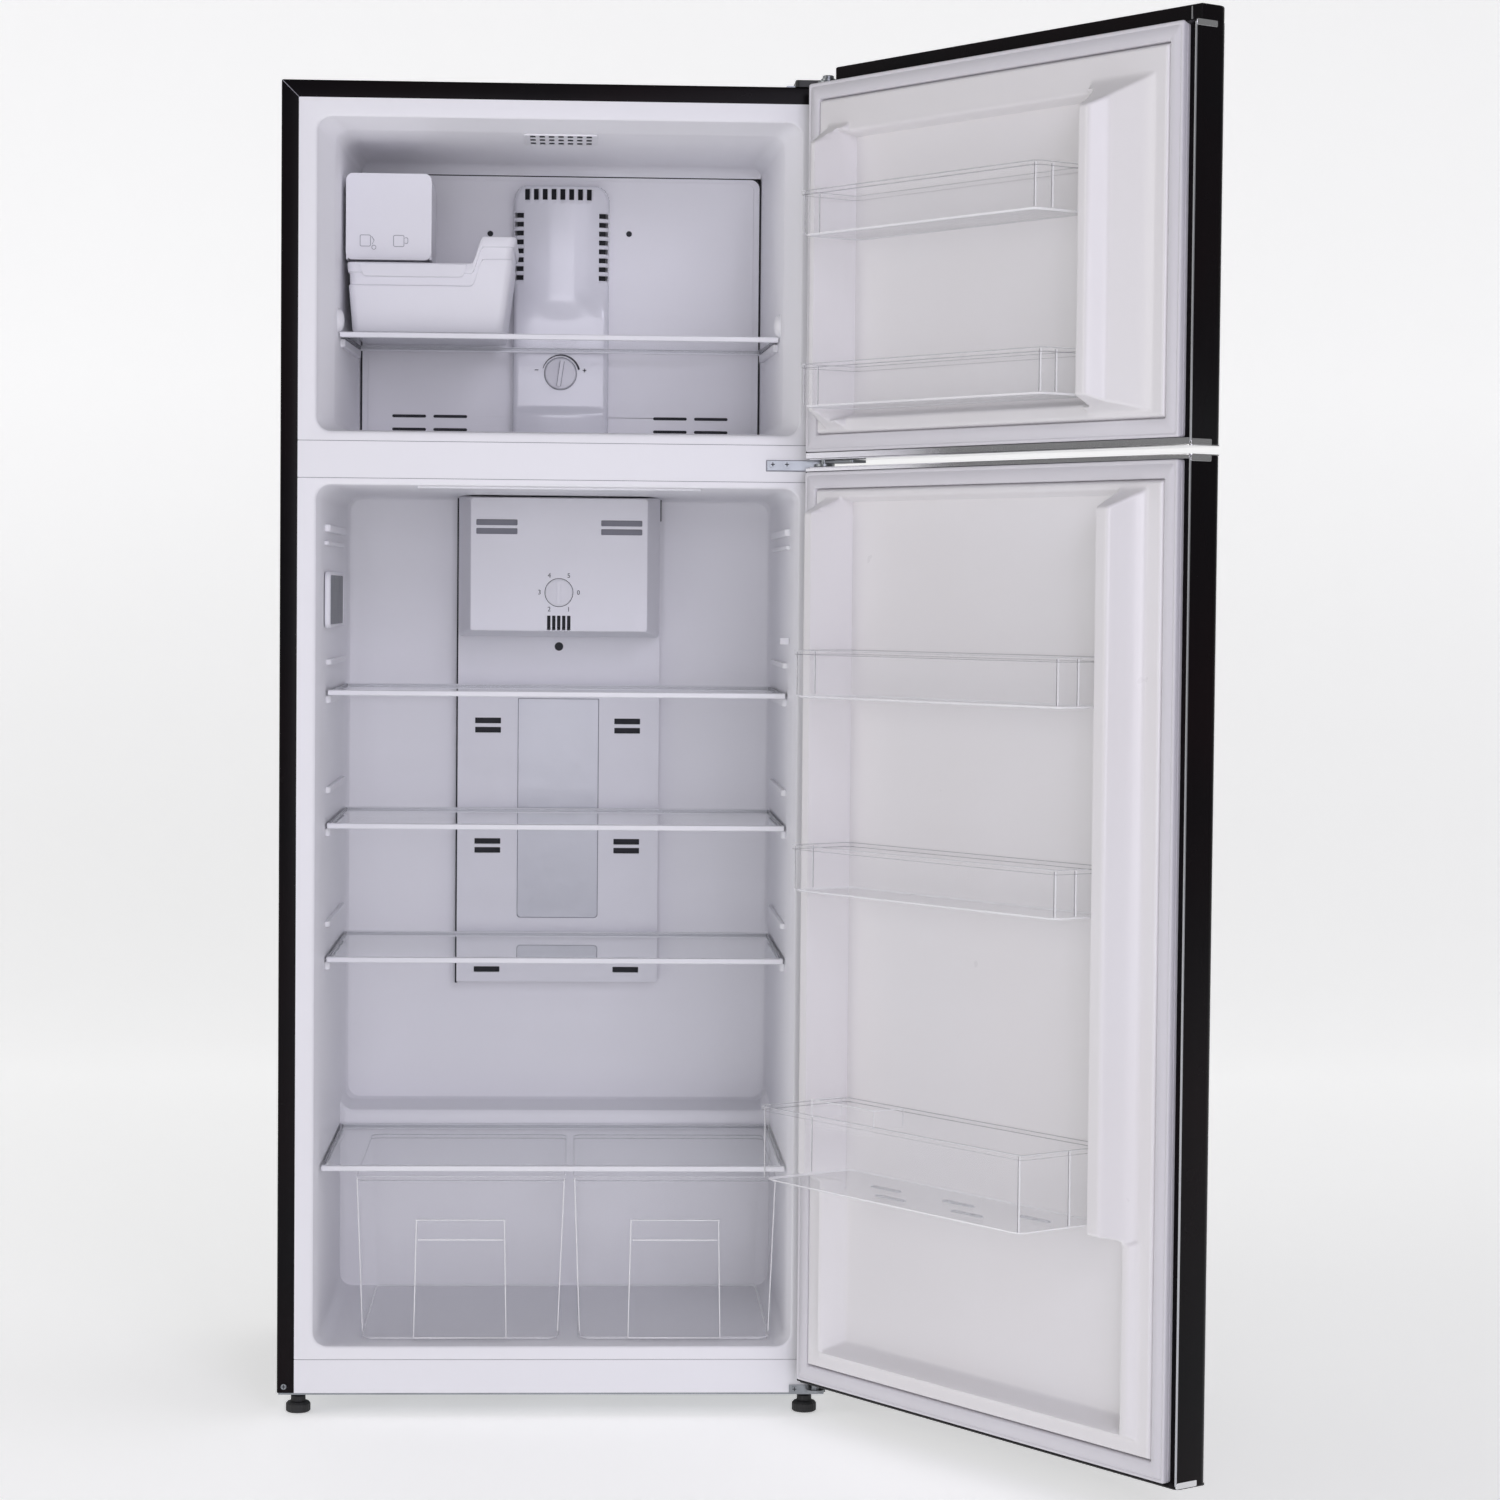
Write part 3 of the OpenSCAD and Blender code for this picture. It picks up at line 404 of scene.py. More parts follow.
links.new(see_through.outputs[0], one_sided.inputs[2])
links.new(one_sided.outputs[0], surface)
floor_mesh.materials.append(M["floor"])
floor_mesh.polygons.foreach_set("use_smooth", [True] * len(floor_mesh.polygons))
bpy.context.scene.collection.objects.link(floor)

# ---- CAD nodes that stay: better materials, softened edges ----------------

KEPT = {"cabinet_foam": "plastic", "back_panel": "zinc", "base_plate": "zinc", "compressor": "can",
        "drip_tray": "plastic", "machine_cover": "plastic", "evaporator": "alu", "fan_motor": "plastic",
        "ice_tray": "white", "evaporator_fan": "plastic", "door_switch": "white",
        "top_hinge": "zinc", "middle_hinge": "zinc", "bottom_hinge": "zinc",
        "hinge_screws": "zinc", "cord_gland": "rubber", "rear_rollers": "plastic"}
for node, key in KEPT.items():
    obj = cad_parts[node]
    for slot in obj.material_slots:
        slot.material = M[key]
    if not obj.material_slots:
        obj.data.materials.append(M[key])
for node in ("top_hinge", "middle_hinge", "bottom_hinge", "ice_tray", "machine_cover",
             "door_switch", "drip_tray"):
    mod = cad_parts[node].modifiers.new("edge", "BEVEL")
    mod.width, mod.segments, mod.limit_method = 0.0005, 2, "ANGLE"
    mod.angle_limit = math.radians(38)

# ---- cabinet shell --------------------------------------------------------

HALF, TOP, LOW, RIM = 350, 1689, 28, 22


def hoop(off, d, r):
    """Inverted U of the wrapper, drawn in by off, at depth d."""
    x, z = HALF - off, TOP - off
    pts = [(-x, LOW)] + arc(-x + r, z - r, r, 180, 90, 5) + arc(x - r, z - r, r, 90, 0, 5) + [(x, LOW)]
    return in_d(pts, d)


SHELL = [(0, DEPTH, 2), (0, 4, 2), (0.5, 1.8, 2), (1.6, 0.5, 1.5), (3.4, 0, 1), (RIM, 0, 0.3),
         (RIM, 1.1, 0.3), (3.6, 1.2, 0.5), (1.3, 4, 0.8), (1.2, DEPTH, 0.8)]
hoops = [hoop(*s) for s in SHELL]
verts, faces, band = loft(hoops, ring=False, cyclic=True)
n = len(hoops[0])
faces += [tuple(i * n for i in range(len(hoops))), tuple(i * n + n - 1 for i in range(len(hoops)))[::-1]]
piece("shell", (verts, faces, band + [0, 0]), "black", replace="cabinet_shell")

piece("hinge_cap", slab([rr(296, 349.2, 1.5, 69, 5, 5)], 1689.2, 1698, "z"), "plastic",
      replace="hinge_cover", bevel=1.6, seg=3)
bush = [(0.01, 1692.4), (9, 1692.4), (9.4, 1693), (9.4, 1695.4), (7.4, 1696.2), (7.2, 1699), (6.4, 1699.8),
        (0.01, 1699.8)]
piece("hinge_bush_top", lathe(bush, (HINGE[0], HINGE[1], 0), "z", 40), "zinc")
# Painted shadow: a grey plate just behind the middle hinge plate shows as a dark outline round it.
piece("middle_hinge_shadow", slab([rr(262.4, 347, 1204.4, 1219, 1, 3)], -0.6, 0), "grey")
plates = [slab([rr(304, 330, -40, -16, 3, 3)], 1687.8, 1688.9, "z"),
          slab([rr(272, 328, -44, -20, 3, 3)], 1214, 1217.6, "z")]
for i, plate in enumerate(plates):
    piece("door_hinge_plate_%d" % (i + 1), plate, "zinc", DOOR, "freezer_door", bevel=0.6)
# Painted shade: a dark cross stands for the shade in each screw's cross recess.
for i, (x, y, z) in enumerate(((271, -4, 1213.5), (289, -4, 1213.5), (310, -4, 33), (-341, -1.5, 36))):
    cross = [slab([rr(x - a, x + a, z - b, z + b, 0.2, 2)], y - 0.15, y + 0.3)
             for a, b in ((2.6, 0.6), (0.6, 2.6))]
    piece("screw_recess_%d" % (i + 1), join(*cross), "dark")

# mitre lines where the rim's three strips meet
for s in (-1, 1):
    line = [(s * (HALF - 1), TOP - 1.6), (s * (HALF - 1.6), TOP - 1),
            (s * (HALF - RIM - 0.2), TOP - RIM + 0.3), (s * (HALF - RIM + 0.3), TOP - RIM - 0.2)]
    piece("rim_mitre_%s" % ("left" if s < 0 else "right"), slab([line], -0.15, 0.3), "grey")

# ---- liners ---------------------------------------------------------------


def inset(rect, g, r):
    """Outline of rect drawn in by g, with its corner radius."""
    return rr(rect[0] + g, rect[1] - g, rect[2] + g, rect[3] - g, max(r - g, 0.5), 6)


def cavity(outer, opening, r, stages, rear_d, rear_fillet=8):
    """Liner surface: flange, rolled edge, then stages of (rect, depth, radius) to the rear."""
    loops = [in_d(rr(*outer, 1, 6), 1.5), in_d(rr(*outer, 1, 6), 0)]
    for g, d in ((-4, 0.0), (-2.2, 0.3), (-0.7, 1.4), (0, 4.0)):
        loops.append(in_d(inset(opening, g, r), d))
    loops += [in_d(inset(rect, 0, q), d) for rect, d, q in stages]
    rect, _, q = stages[-1]
    for a in (30, 60, 90):
        g = rear_fillet * (1 - math.cos(math.radians(a)))
        d = rear_d - rear_fillet + rear_fillet * math.sin(math.radians(a))
        loops.append(in_d(inset(rect, g, q + 4), d))
    return loft(loops, last=True)


FREEZER_WALL = (284 - 269) / 450


def freezer_half(d):
    """Half of the freezer's width inside at depth d, as its side walls taper."""
    return 284 - (d - 45) * FREEZER_WALL


freezer_open = (-304, 304, 1250, 1643)
stages = [((-300, 300, 1250.6, 1641.5), 10, 18), ((-286, 286, 1252.7, 1632.6), 41, 16),
          ((-284, 284, 1253, 1631), 46, 16), ((-269.5, 269.5, 1253, 1631), 487, 16)]
piece("freezer_liner_shell", cavity((-328, 328, 1238, 1667), freezer_open, 18, stages, 495), "liner",
      replace="freezer_liner", thick=1.5, sharp=28, turn=False)

fridge_open = (-304, 304, 88, 1182)
stages = [((-301, 301, 88, 1181.6), 14, 18), ((-298.2, 298.2, 88, 1181), 30, 18),
          ((-296.6, 296.6, 88, 1181), 399, 18), ((-296.5, 296.5, 89.6, 1181), 403.4, 18),
          ((-296.5, 296.5, 94, 1181), 404.4, 18), ((-296.5, 296.5, 327, 1181), 404.8, 18),
          ((-296.5, 296.5, 333, 1181), 407.4, 18), ((-296.4, 296.4, 335, 1181), 414, 18),
          ((-296.1, 296.1, 335, 1181), 492, 18)]
piece("fridge_liner_shell", cavity((-328, 328, 71, 1190.5), fridge_open, 18, stages, 500), "liner",
      replace="fridge_liner", thick=1.5, sharp=28, turn=False)
piece("rail_seams", join(*[slab([rr(-327, 327, z - 1.2, z + 1.2, 0.4, 2)], 1.0, 1.6)
                           for z in (1190.8, 1237.6, 70.8)]), "grey")
piece("rail_between", slab([rr(-328, 328, 1191.2, 1237.3, 0.6, 3)], -0.3, 2), "liner",
      replace="mullion_rail", bevel=0.5)
piece("rail_kick", slab([rr(-328, 328, 28, 70.4, 0.6, 3)], -0.3, 2), "liner", replace="kick_rail", bevel=0.6)


def rib(name, z, t, d0, d1, half0, half1, reach=8, r=3.0):
    """Pair of moulded ribs on the side walls, top at height z."""
    parts = []
    for s in (-1, 1):
        out = [(s * (half0 + 0.6), d0), (s * (half1 + 0.6), d1), (s * (half1 - reach + r), d1),
               (s * (half1 - reach), d1 - r), (s * (half0 - reach), d0 + r), (s * (half0 - reach + r), d0)]
        parts.append(slab([out], z - t, z, "z"))
    piece(name, join(*parts), "liner", bevel=1.2, seg=3)


rib("freezer_shelf_ledges", 1372.6, 10, 110, 330, freezer_half(110), freezer_half(330), reach=6)
for i, (z, t) in enumerate(((913.6, 10), (741.6, 10), (568.6, 10), (960, 7), (795, 8), (621, 7), (307.6, 8))):
    rib("fridge_rib_%d" % (i + 1), z, t, 100, 390, 297.6, 296.6, reach=6)
rib("fridge_boss_upper", 1133, 9, 66, 380, 297.8, 296.6, reach=7)
rib("fridge_boss_lower", 1112, 5, 66, 380, 297.8, 296.6, reach=5)

for s in (-1, 1):
    dome = [(15, -2), (14.6, 1), (12.5, 4.5), (8, 7), (0.01, 8)]
    dd, ff, bb = lathe(dome, (0, 78, 1394), "x", 32)
    piece("freezer_boss_" + ("left" if s < 0 else "right"),
          ([(s * (freezer_half(78) - x), y, q) for x, y, q in dd], ff, bb), "liner")
piece("fridge_ceiling_line", slab([rr(-178, 182, 16, 20, 1.9, 3)], 1179.4, 1181.8, "z"), "trim", bevel=0.6)

# ---- freezer: rear cover, fan column, controls ----------------------------


def slot_loop(cx, cz, w, h, r=None):
    """Slot w by h about (cx, cz), with round ends unless r is given."""
    q = min(w, h) / 2 * 0.95 if r is None else r
    return rr(cx - w / 2, cx + w / 2, cz - h / 2, cz + h / 2, q, 4)


fillet = [(364, 1631.4), (372, 1630.6), (379, 1628), (383.5, 1623), (385.3, 1616.6), (389, 1616.6),
          (389, 1631.6)]
piece("rear_cover_cove", slab([fillet], -271.6, 271.6, "x"), "liner", sharp=50)
# Painted shade: a dark frame just behind the rear cover's edge shows as a dark line in the gap round it.
edge_line = [rr(-271.8, 271.8, 1253.6, 1616.8, 13, 6), rr(-268, 268, 1256, 1613, 12, 6)]
piece("rear_cover_gap", slab(edge_line, 386.6, 388.6), "dark")
low_slots = [slot_loop(s * x, z, 46, 4) for s in (-1, 1) for x in (206, 150) for z in (1270, 1288)]
piece("rear_cover", slab([rr(-270, 270, 1254, 1615, 12, 6)], 384.6, 388), "liner", bevel=0.6,
      replace="evaporator_cover")
piece("rear_cover_field", slab([rr(-262, 262, 1257, 1610, 10, 6)] + low_slots, 383.2, 384.8), "liner",
      bevel=0.7)
piece("rear_cover_slot_shadow", slab([rr(-232, -124, 1264, 1294, 2, 3)], 384.2, 384.9), "dark")
piece("rear_cover_slot_shadow_right", slab([rr(124, 232, 1264, 1294, 2, 3)], 384.2, 384.9), "dark")
# Painted shade: the inner wall and floor of each screw's socket are dark.
for i, (x, z) in enumerate(((-97, 1537), (92, 1539))):
    piece("rear_cover_screw_%d" % (i + 1),
          lathe([(4.8, 0.6), (4.8, -0.2), (3.9, -0.5), (3.6, 0.1), (0.01, 0.1)],
                                                (x, 382.9, z), n=24), ("white", "white", "dark", "dark"))

def column_depth(x, z):
    """Front of the fan housing: a bulge over the fan, a flat field round the knob, a bulging foot."""
    q = (x / 65.2) ** 2
    up = min(max((z - 1411) / 42, 0), 1)
    up = up * up * (3 - 2 * up)
    low = min(max((1300 - z) / 7, 0), 1)
    d = 353.5 + 2 * q - up * (5.5 - 9 * q) - low * (5.5 - 4 * q) + max(0, 1288 - z) * 0.10
    cx, cz = max(abs(x) - 46, 0), max(z - 1583, 0)
    m = min(65.2 - abs(x), 1601 - z) if cx == 0 or cz == 0 else 18 - math.hypot(cx, cz)
    if m < 0.4:
        return 384.5
    return d + (7 - math.sqrt(max(49 - (7 - m) ** 2, 0)) if m < 7 else 0)


top_x = [(-46.5 + i * 12 - 3.3, -46.5 + i * 12 + 3.3) for i in range(8)]
side_z = [(1475.7 + i * 12 - 3.3, 1475.7 + i * 12 + 3.3) for i in range(8)]
corner = [46 + 1.3 * k for k in range(15)]
cols = sorted({round(v, 2) for v in [c for pair in top_x for c in pair] + [s * v for s in (-1, 1)
                                     for v in (65.4, 65.2, 64.2, 51, 36, 18, *corner)] + [0]})
rows = sorted({round(v, 2) for v in [c for pair in side_z for c in pair] + [1580.5, 1595.5]
               + list(range(1255, 1306, 3)) + list(range(1320, 1410, 15)) + list(range(1408, 1460, 4))
               + [1466, 1567, 1574, 1600.8, 1601.2] + [1583 + 1.3 * k for k in range(14)]})
verts = [(x, column_depth(x, z), z) for z in rows for x in cols]
faces = []
for j in range(len(rows) - 1):
    for i in range(len(cols) - 1):
        x, z = (cols[i] + cols[i + 1]) / 2, (rows[j] + rows[j + 1]) / 2
        hole = (1580.5 < z < 1595.5 and any(a < x < b for a, b in top_x)) or \
            (51 < abs(x) < 64.2 and any(a < z < b for a, b in side_z))
        if not hole:
            n = len(cols)
            faces.append((j * n + i, j * n + i + 1, (j + 1) * n + i + 1, (j + 1) * n + i))
piece("fan_column", (verts, faces, [0] * len(faces)), "column", replace="fan_duct_cover", thick=1.8, sharp=40,
      turn=False)
piece("fan_column_shadow", slab([rr(-60, 60, 1462, 1597, 12, 4)], 366, 367), "dark")
KNOB_Z = 1346
piece("knob_disc", lathe([(21, 9), (21, 1.2), (20, 0), (17.4, -0.4), (0.01, -0.6)], (0, 347.4, KNOB_Z), n=56),
      "white", body="freezer_control", replace="freezer_knob")
tilt = math.radians(-8)
grip = [(x * math.cos(tilt) - z * math.sin(tilt), KNOB_Z + x * math.sin(tilt) + z * math.cos(tilt))
        for x, z in rr(-2.4, 2.4, -18, 18, 2.2, 5)]
piece("knob_grip", slab([grip], 338.4, 348), "white", body="freezer_control", bevel=1.2, seg=3)
# Painted shadow: thin grey strips along both sides of the grip.
for x in (-2.7, 2.7):
    side = [(u * math.cos(tilt) - v * math.sin(tilt), KNOB_Z + u * math.sin(tilt) + v * math.cos(tilt))
            for u, v in rr(x - 0.35, x + 0.35, -17, 17, 0.3, 2)]
    piece("knob_grip_shadow_%s" % ("left" if x < 0 else "right"), slab([side], 346.2, 347), "grey",
          body="freezer_control")
# Painted shade: a grey ring in the gap round the knob.
piece("knob_ring", slab([circle(0, KNOB_Z, 22.3, 56), circle(0, KNOB_Z, 21.4, 56)], 351.6, 354.6), "grey",
      bevel=0.2)
scale_edges = [(24.4, 163 - 5 * k) for k in range(31)]
scale_edges += [(25.2 + 0.062 * k, 163 - 5 * k) for k in range(30, -1, -1)]
mark = [(r * math.cos(math.radians(a)), KNOB_Z + r * math.sin(math.radians(a))) for r, a in scale_edges]
piece("knob_scale", slab([mark], 352.2, 354.4), "mark")
signs = [rr(-35, -30, KNOB_Z + 4.4, KNOB_Z + 5.4, 0.3, 2), rr(30, 35, KNOB_Z + 4.4, KNOB_Z + 5.4, 0.3, 2),
         rr(32, 33, KNOB_Z + 2.4, KNOB_Z + 7.4, 0.3, 2)]
piece("knob_signs", join(*[slab([sign], 352.4, 354.4) for sign in signs]), "mark")

grid_slots = [slot_loop(-36 + 12 * i, 66 + 34 * j, 7, 27) for i in range(7) for j in range(3)]
piece("ceiling_grille", slab([rr(-47, 47, 48, 152, 4, 4)] + grid_slots, 1629.2, 1631.4, "z"), "liner",
      bevel=0.5)
piece("ceiling_grille_shadow", slab([rr(-44, 44, 51, 149, 3, 3)], 1630.4, 1631.3, "z"), "dark")

# ---- ice maker ------------------------------------------------------------

MX, MZ = (-276, -166), (1476, 1586)
hood = [(MX[0], MZ[0])] + arc(MX[0] + 9, MZ[1] - 9, 9, 180, 90, 5)
hood += arc(MX[1] - 9, MZ[1] - 9, 9, 90, 0, 5) + [(MX[1], MZ[0]), (MX[1] - 3, MZ[0])]
hood += arc(MX[1] - 10, MZ[1] - 10, 7, 0, 90, 5) + arc(MX[0] + 10, MZ[1] - 10, 7, 90, 180, 5)
hood += [(MX[0] + 3, MZ[0])]
front = slab([rr(MX[0], MX[1], MZ[0] - 1, MZ[1], 9, 6)], 113.5, 118.5)
rear = slab([rr(MX[0], MX[1], MZ[0], MZ[1], 9, 6)], 264, 268)
piece("ice_maker_hood", join(slab([hood], 118, 265), front, rear), "white", replace="ice_maker_housing",
      bevel=1.6, seg=3)


def bin_top(x):
    """Height of the ice bin's rim: a smooth S up to the raised right part."""
    t = min(max((x + 114) / 15, 0), 1)
    return 1471 + 34.5 * t * t * (3 - 2 * t)


def bin_ring(g, level, lean):
    """Ring of the bin, grown by g, at a height, or at an offset below its rim."""
    loop = rr(-273 + lean - g, -57 - 2.6 * lean + g, 100 + lean / 2 - g, 340 - lean / 2 + g, 9, 6)
    out = []
    for i, (x, y) in enumerate(loop):
        u, v = loop[(i + 1) % len(loop)]
        k = 60 if i % 14 == 13 else 1
        out += [(x + (u - x) * t / k, y + (v - y) * t / k) for t in range(k)]
    return [(x, y, level if level > 1 else bin_top(x) + level) for x, y in out]


bin_loops = [bin_ring(-4, 1381.6, 6), bin_ring(-1, 1382.4, 6), bin_ring(0, 1385, 6), bin_ring(0, -30, 1.5),
             bin_ring(-1.6, -28.5, 1.4), bin_ring(-1.6, -14, 0.8), bin_ring(0.2, -12.5, 0.6),
             bin_ring(0.4, -2.2, 0),
             bin_ring(-0.2, -0.4, 0), bin_ring(-1.4, 0, 0), bin_ring(-2.8, -0.5, 0), bin_ring(-3.2, -3, 0),
             bin_ring(-3.4, -30, 1.5), bin_ring(-2.4, 1389, 6), bin_ring(-6, 1384.6, 6)]
piece("ice_bin_shell", loft(bin_loops, True, True), "white", body="ice_box", replace="ice_bin", sharp=40)

band = [(-258, 1469)] + arc(-248, 1459, 6, 200, 270, 4) + arc(-129, 1459, 6, 270, 340, 4) + [(-120, 1469)]
piece("ice_bin_band", slab([band], 97.2, 101), "white", body="ice_box", bevel=1.2, seg=3)
signs = [slab([rr(x - 7, x + 7, 1492, 1507, 2, 3),
               rr(x - 6.3, x + 6.3, 1492.7, 1506.3, 1.4, 3)], 113.1, 113.7)
         for x in (-251, -208)]
signs.append(slab([rr(-201, -196, 1496, 1504, 2, 3), rr(-201, -196.7, 1496.7, 1503.3, 1.4, 3)], 113.1, 113.7))
signs.append(tube([(-243, 113.3, 1505), (-239.6, 113.3, 1500), (-242, 113.3, 1495)], 0.4, 5))
signs.append(slab([circle(-240, 1491, 3, 20), circle(-240, 1491, 2.3, 20)], 113.1, 113.7))
piece("ice_maker_signs", join(*signs), "grey")

# ---- shelves --------------------------------------------------------------


def shelf(name, body, node, x0, x1, d0, d1, z):
    """Glass plate in white front and rear trims, with dark side seals."""
    pane = [(-x0 + 2.5, d0 + 4), (x0 - 2.5, d0 + 4), (x1 - 2.5, d1 - 4), (-x1 + 2.5, d1 - 4)]
    piece(name + "_glass", slab([pane], z - 1.6, z + 1.6, "z"), "glass", body=body, replace=node, bevel=0.3)
    bars = []
    for s in (-1, 1):
        bars.append(slab([[(s * x0, d0 + 9), (s * x1, d1 - 8), (s * (x1 - 3.2), d1 - 8),
                           (s * (x0 - 3.2), d0 + 9)]],
                         z - 2.6, z + 2.4, "z"))
    piece(name + "_seals", join(*bars), "glass_edge", body=body, bevel=0.6)
    prof = [(d0, z - 3.2), (d0, z + 2.2), (d0 + 0.9, z + 3.0), (d0 + 9, z + 3.0), (d0 + 9, z + 1.7),
            (d0 + 3.4, z + 1.7),
            (d0 + 3.4, z - 1.7), (d0 + 8, z - 1.7), (d0 + 8, z - 4.0), (d0 + 0.9, z - 4.0)]
    piece(name + "_front_trim", slab([prof], -x0, x0, "x"), "trim", body=body, bevel=0.5)
    prof = [(d1, z - 4), (d1, z + 3), (d1 - 8, z + 3), (d1 - 8, z + 1.7), (d1 - 3, z + 1.7),
            (d1 - 3, z - 1.7), (d1 - 8, z - 1.7), (d1 - 8, z - 4)]
    piece(name + "_rear_trim", slab([prof], -x1, x1, "x"), "trim", body=body, bevel=0.5)


shelf("freezer_shelf", "freezer_shelf_body", "freezer_shelf", 281.3, 272.5, 80, 345, 1377)
for i, z in enumerate((918, 746, 573)):
    shelf("shelf_%d" % (i + 1), "shelf_%d_body" % (i + 1), "shelf_%d" % (i + 1), 295, 295, 88, 460, z)
shelf("crisper_lid", "crisper_cover_body", "crisper_cover", 296, 295, 25, 403, 312)

# ---- crisper drawers ------------------------------------------------------


def tray_loops(x, y, z, lean, wall, r, rim=2.0, front_lean=None):
    """Open tray of thin wall: outside up, over a rolled rim, inside down."""
    fl = lean / 2 if front_lean is None else front_lean

    def ring(g, zz):
        """Outline of the tray at height zz, grown by g."""
        t = (z[1] - zz) / (z[1] - z[0])
        return in_z(rr(x[0] + lean * t - g, x[1] - lean * t + g, y[0] + fl * t - g, y[1] + g, r, 6), zz)

    return [ring(-6, z[0]), ring(-1.8, z[0] + 0.6), ring(0, z[0] + 3), ring(0, z[1] - 6), ring(rim, z[1] - 5),
            ring(rim, z[1] - 0.6), ring(rim - 0.6, z[1]), ring(-wall + 0.6, z[1]), ring(-wall, z[1] - 0.8),
            ring(-wall, z[0] + 5), ring(-wall - 2.4, z[0] + 3), ring(-wall - 8, z[0] + wall)]


def tray_mats(n, clear="clear", edge="edge"):
    """Material of each strip of an open tray, with painted highlight lines and painted shade lines at its
    edges.
    """
    return [{0: edge, 1: "line", 3: "seam", 4: clear, 5: "line", 6: clear, 7: "seam"}.get(i, clear)
            for i in range(n)]


def drawer(name, node, x):
    """One crisper drawer between the two sides in x."""
    body = node + "_body"
    mid = (x[0] + x[1]) / 2
    loops = tray_loops(x, (30, 395), (90, 301), 8, 2.2, 12, rim=0.0)
    piece(name + "_tub", loft(loops, True, True), tray_mats(len(loops), edge="tub"), body=body, replace=node,
          sharp=50)
    # Painted highlight: near-white lines down the front corners and along the bottom, and the grip's frame
    # and line in the same near-white, stand for light caught on the clear plastic's edges.
    lines = [tube([(e + s * (2 + 8 * t), 31.6 + 4 * t, 301 - 211 * t) for t in (0.01, 0.5, 0.95)], 0.8, 6)
             for s, e in ((1, x[0]), (-1, x[1]))]
    lines.append(tube([(x[0] + 18, 36, 90.6), (mid, 36, 90.6), (x[1] - 18, 36, 90.6)], 0.9, 6))
    piece(name + "_painted_highlights", join(*lines), "line", body=body)
    grip = [(mid - 60, 92), (mid + 60, 92), (mid + 57, 246), (mid - 57, 246)]
    hole = [(mid - 58.4, 94), (mid + 58.4, 94), (mid + 55.4, 244.4), (mid - 55.4, 244.4)]
    piece(name + "_grip_frame", slab([grip, hole], 25.6, 30, "d"), "line", body=body, bevel=0.8)
    piece(name + "_grip_line", slab([rr(mid - 54, mid + 54, 219, 220.6, 0.7, 2)], 24.8, 26.4, "d"), "line",
          body=body, bevel=0.4)


drawer("drawer_left", "crisper_left", (-253, 16))
drawer("drawer_right", "crisper_right", (25, 287))

# ---- refrigerator: control box, duct, lamp --------------------------------

vents = [slot_loop(s * 85, z, 56, 8, 1.2) for s in (-1, 1) for z in (1132, 1144)]
sensor_slots = [slot_loop(i * 6.8, 1007.5, 4.6, 20, 0.7) for i in range(-2, 3)]
DIAL_Z = 1049
face = [rr(-120, 120, 997, 1177, (3, 4, 4, 3), 5)] + vents + sensor_slots + [circle(0, DIAL_Z, 19.6, 48)]
piece("control_face", slab(face, 360, 363), "white", bevel=0.4)
sides = [in_d(rr(-120, 120, 997, 1177, (3, 4, 4, 3), 5), 361.6),
         in_d(rr(-121.5, 121.5, 995.5, 1178.5, (4, 4, 4, 4), 5), 364.5),
         in_d(rr(-137, 137, 989.5, 1181.5, (4, 4, 4, 4), 5), 428),
         in_d(rr(-138, 138, 988, 1181.5, (4, 4, 4, 4), 5), 431),
         in_d(rr(-138, 138, 988, 1181.5, (4, 4, 4, 4), 5), 470)]
piece("control_housing", loft(sides, last=True), "white", replace="control_box", thick=1.2, sharp=25)
piece("control_shadow", slab([rr(-116, 116, 1000, 1174, 3, 3)], 366, 367), "dark")
# Painted shade: a dark disc stands for the shade inside the sensor hole.
piece("control_sensor_hole", lathe([(6, 0.3), (5.6, -0.3), (5, 0.2), (0.01, 0.2)], (0, 469.2, 974), n=28),
      "dark")
# Painted shade: grey slanted plates behind the vents stand for the shade inside them.
for i, (s, z) in enumerate((s, z) for s in (-1, 1) for z in (1132, 1144)):
    piece("control_louvre_%d" % (i + 1),
          slab([[(363.2, z - 5), (364.4, z - 5), (366, z + 5), (364.8, z + 5)]],
                                              s * 85 - 30, s * 85 + 30, "x"), "grey", bevel=0.3)
dial = lathe([(0.01, 0), (16.5, 0), (18.2, 0.5), (18.9, 1.4), (18.9, 5.5), (0.01, 5.5)], (0, 359.6, DIAL_Z),
             n=56)
piece("dial_disc", dial, "white", body="fridge_control", replace="fridge_dial")
piece("dial_grip", slab([rr(-2.6, 2.6, DIAL_Z - 15.5, DIAL_Z + 15.5, 2.4, 5)], 357.6, 360), "white",
      body="fridge_control", bevel=0.9, seg=3)
for k in range(6):
    a = math.radians(-60 * k)
    text = bpy.data.curves.new("dial_number_%d" % k, "FONT")
    text.body, text.size, text.extrude, text.resolution_u = str(k), 9.0, 0.15, 3
    text.align_x, text.align_y = "CENTER", "CENTER"
    temp = bpy.data.objects.new("temp", text)
    mesh = bpy.data.meshes.new_from_object(temp)
    verts = [(v.co.x + 26.5 * math.cos(a), 359.7 - v.co.z, v.co.y + DIAL_Z + 26.5 * math.sin(a))
             for v in mesh.vertices]
    faces = [tuple(p.vertices) for p in mesh.polygons]
    piece("dial_number_%d" % k, (verts, faces, [0] * len(faces)), "mark", weld=0.0001)
    bpy.data.objects.remove(temp)
    bpy.data.curves.remove(text)
    bpy.data.meshes.remove(mesh)

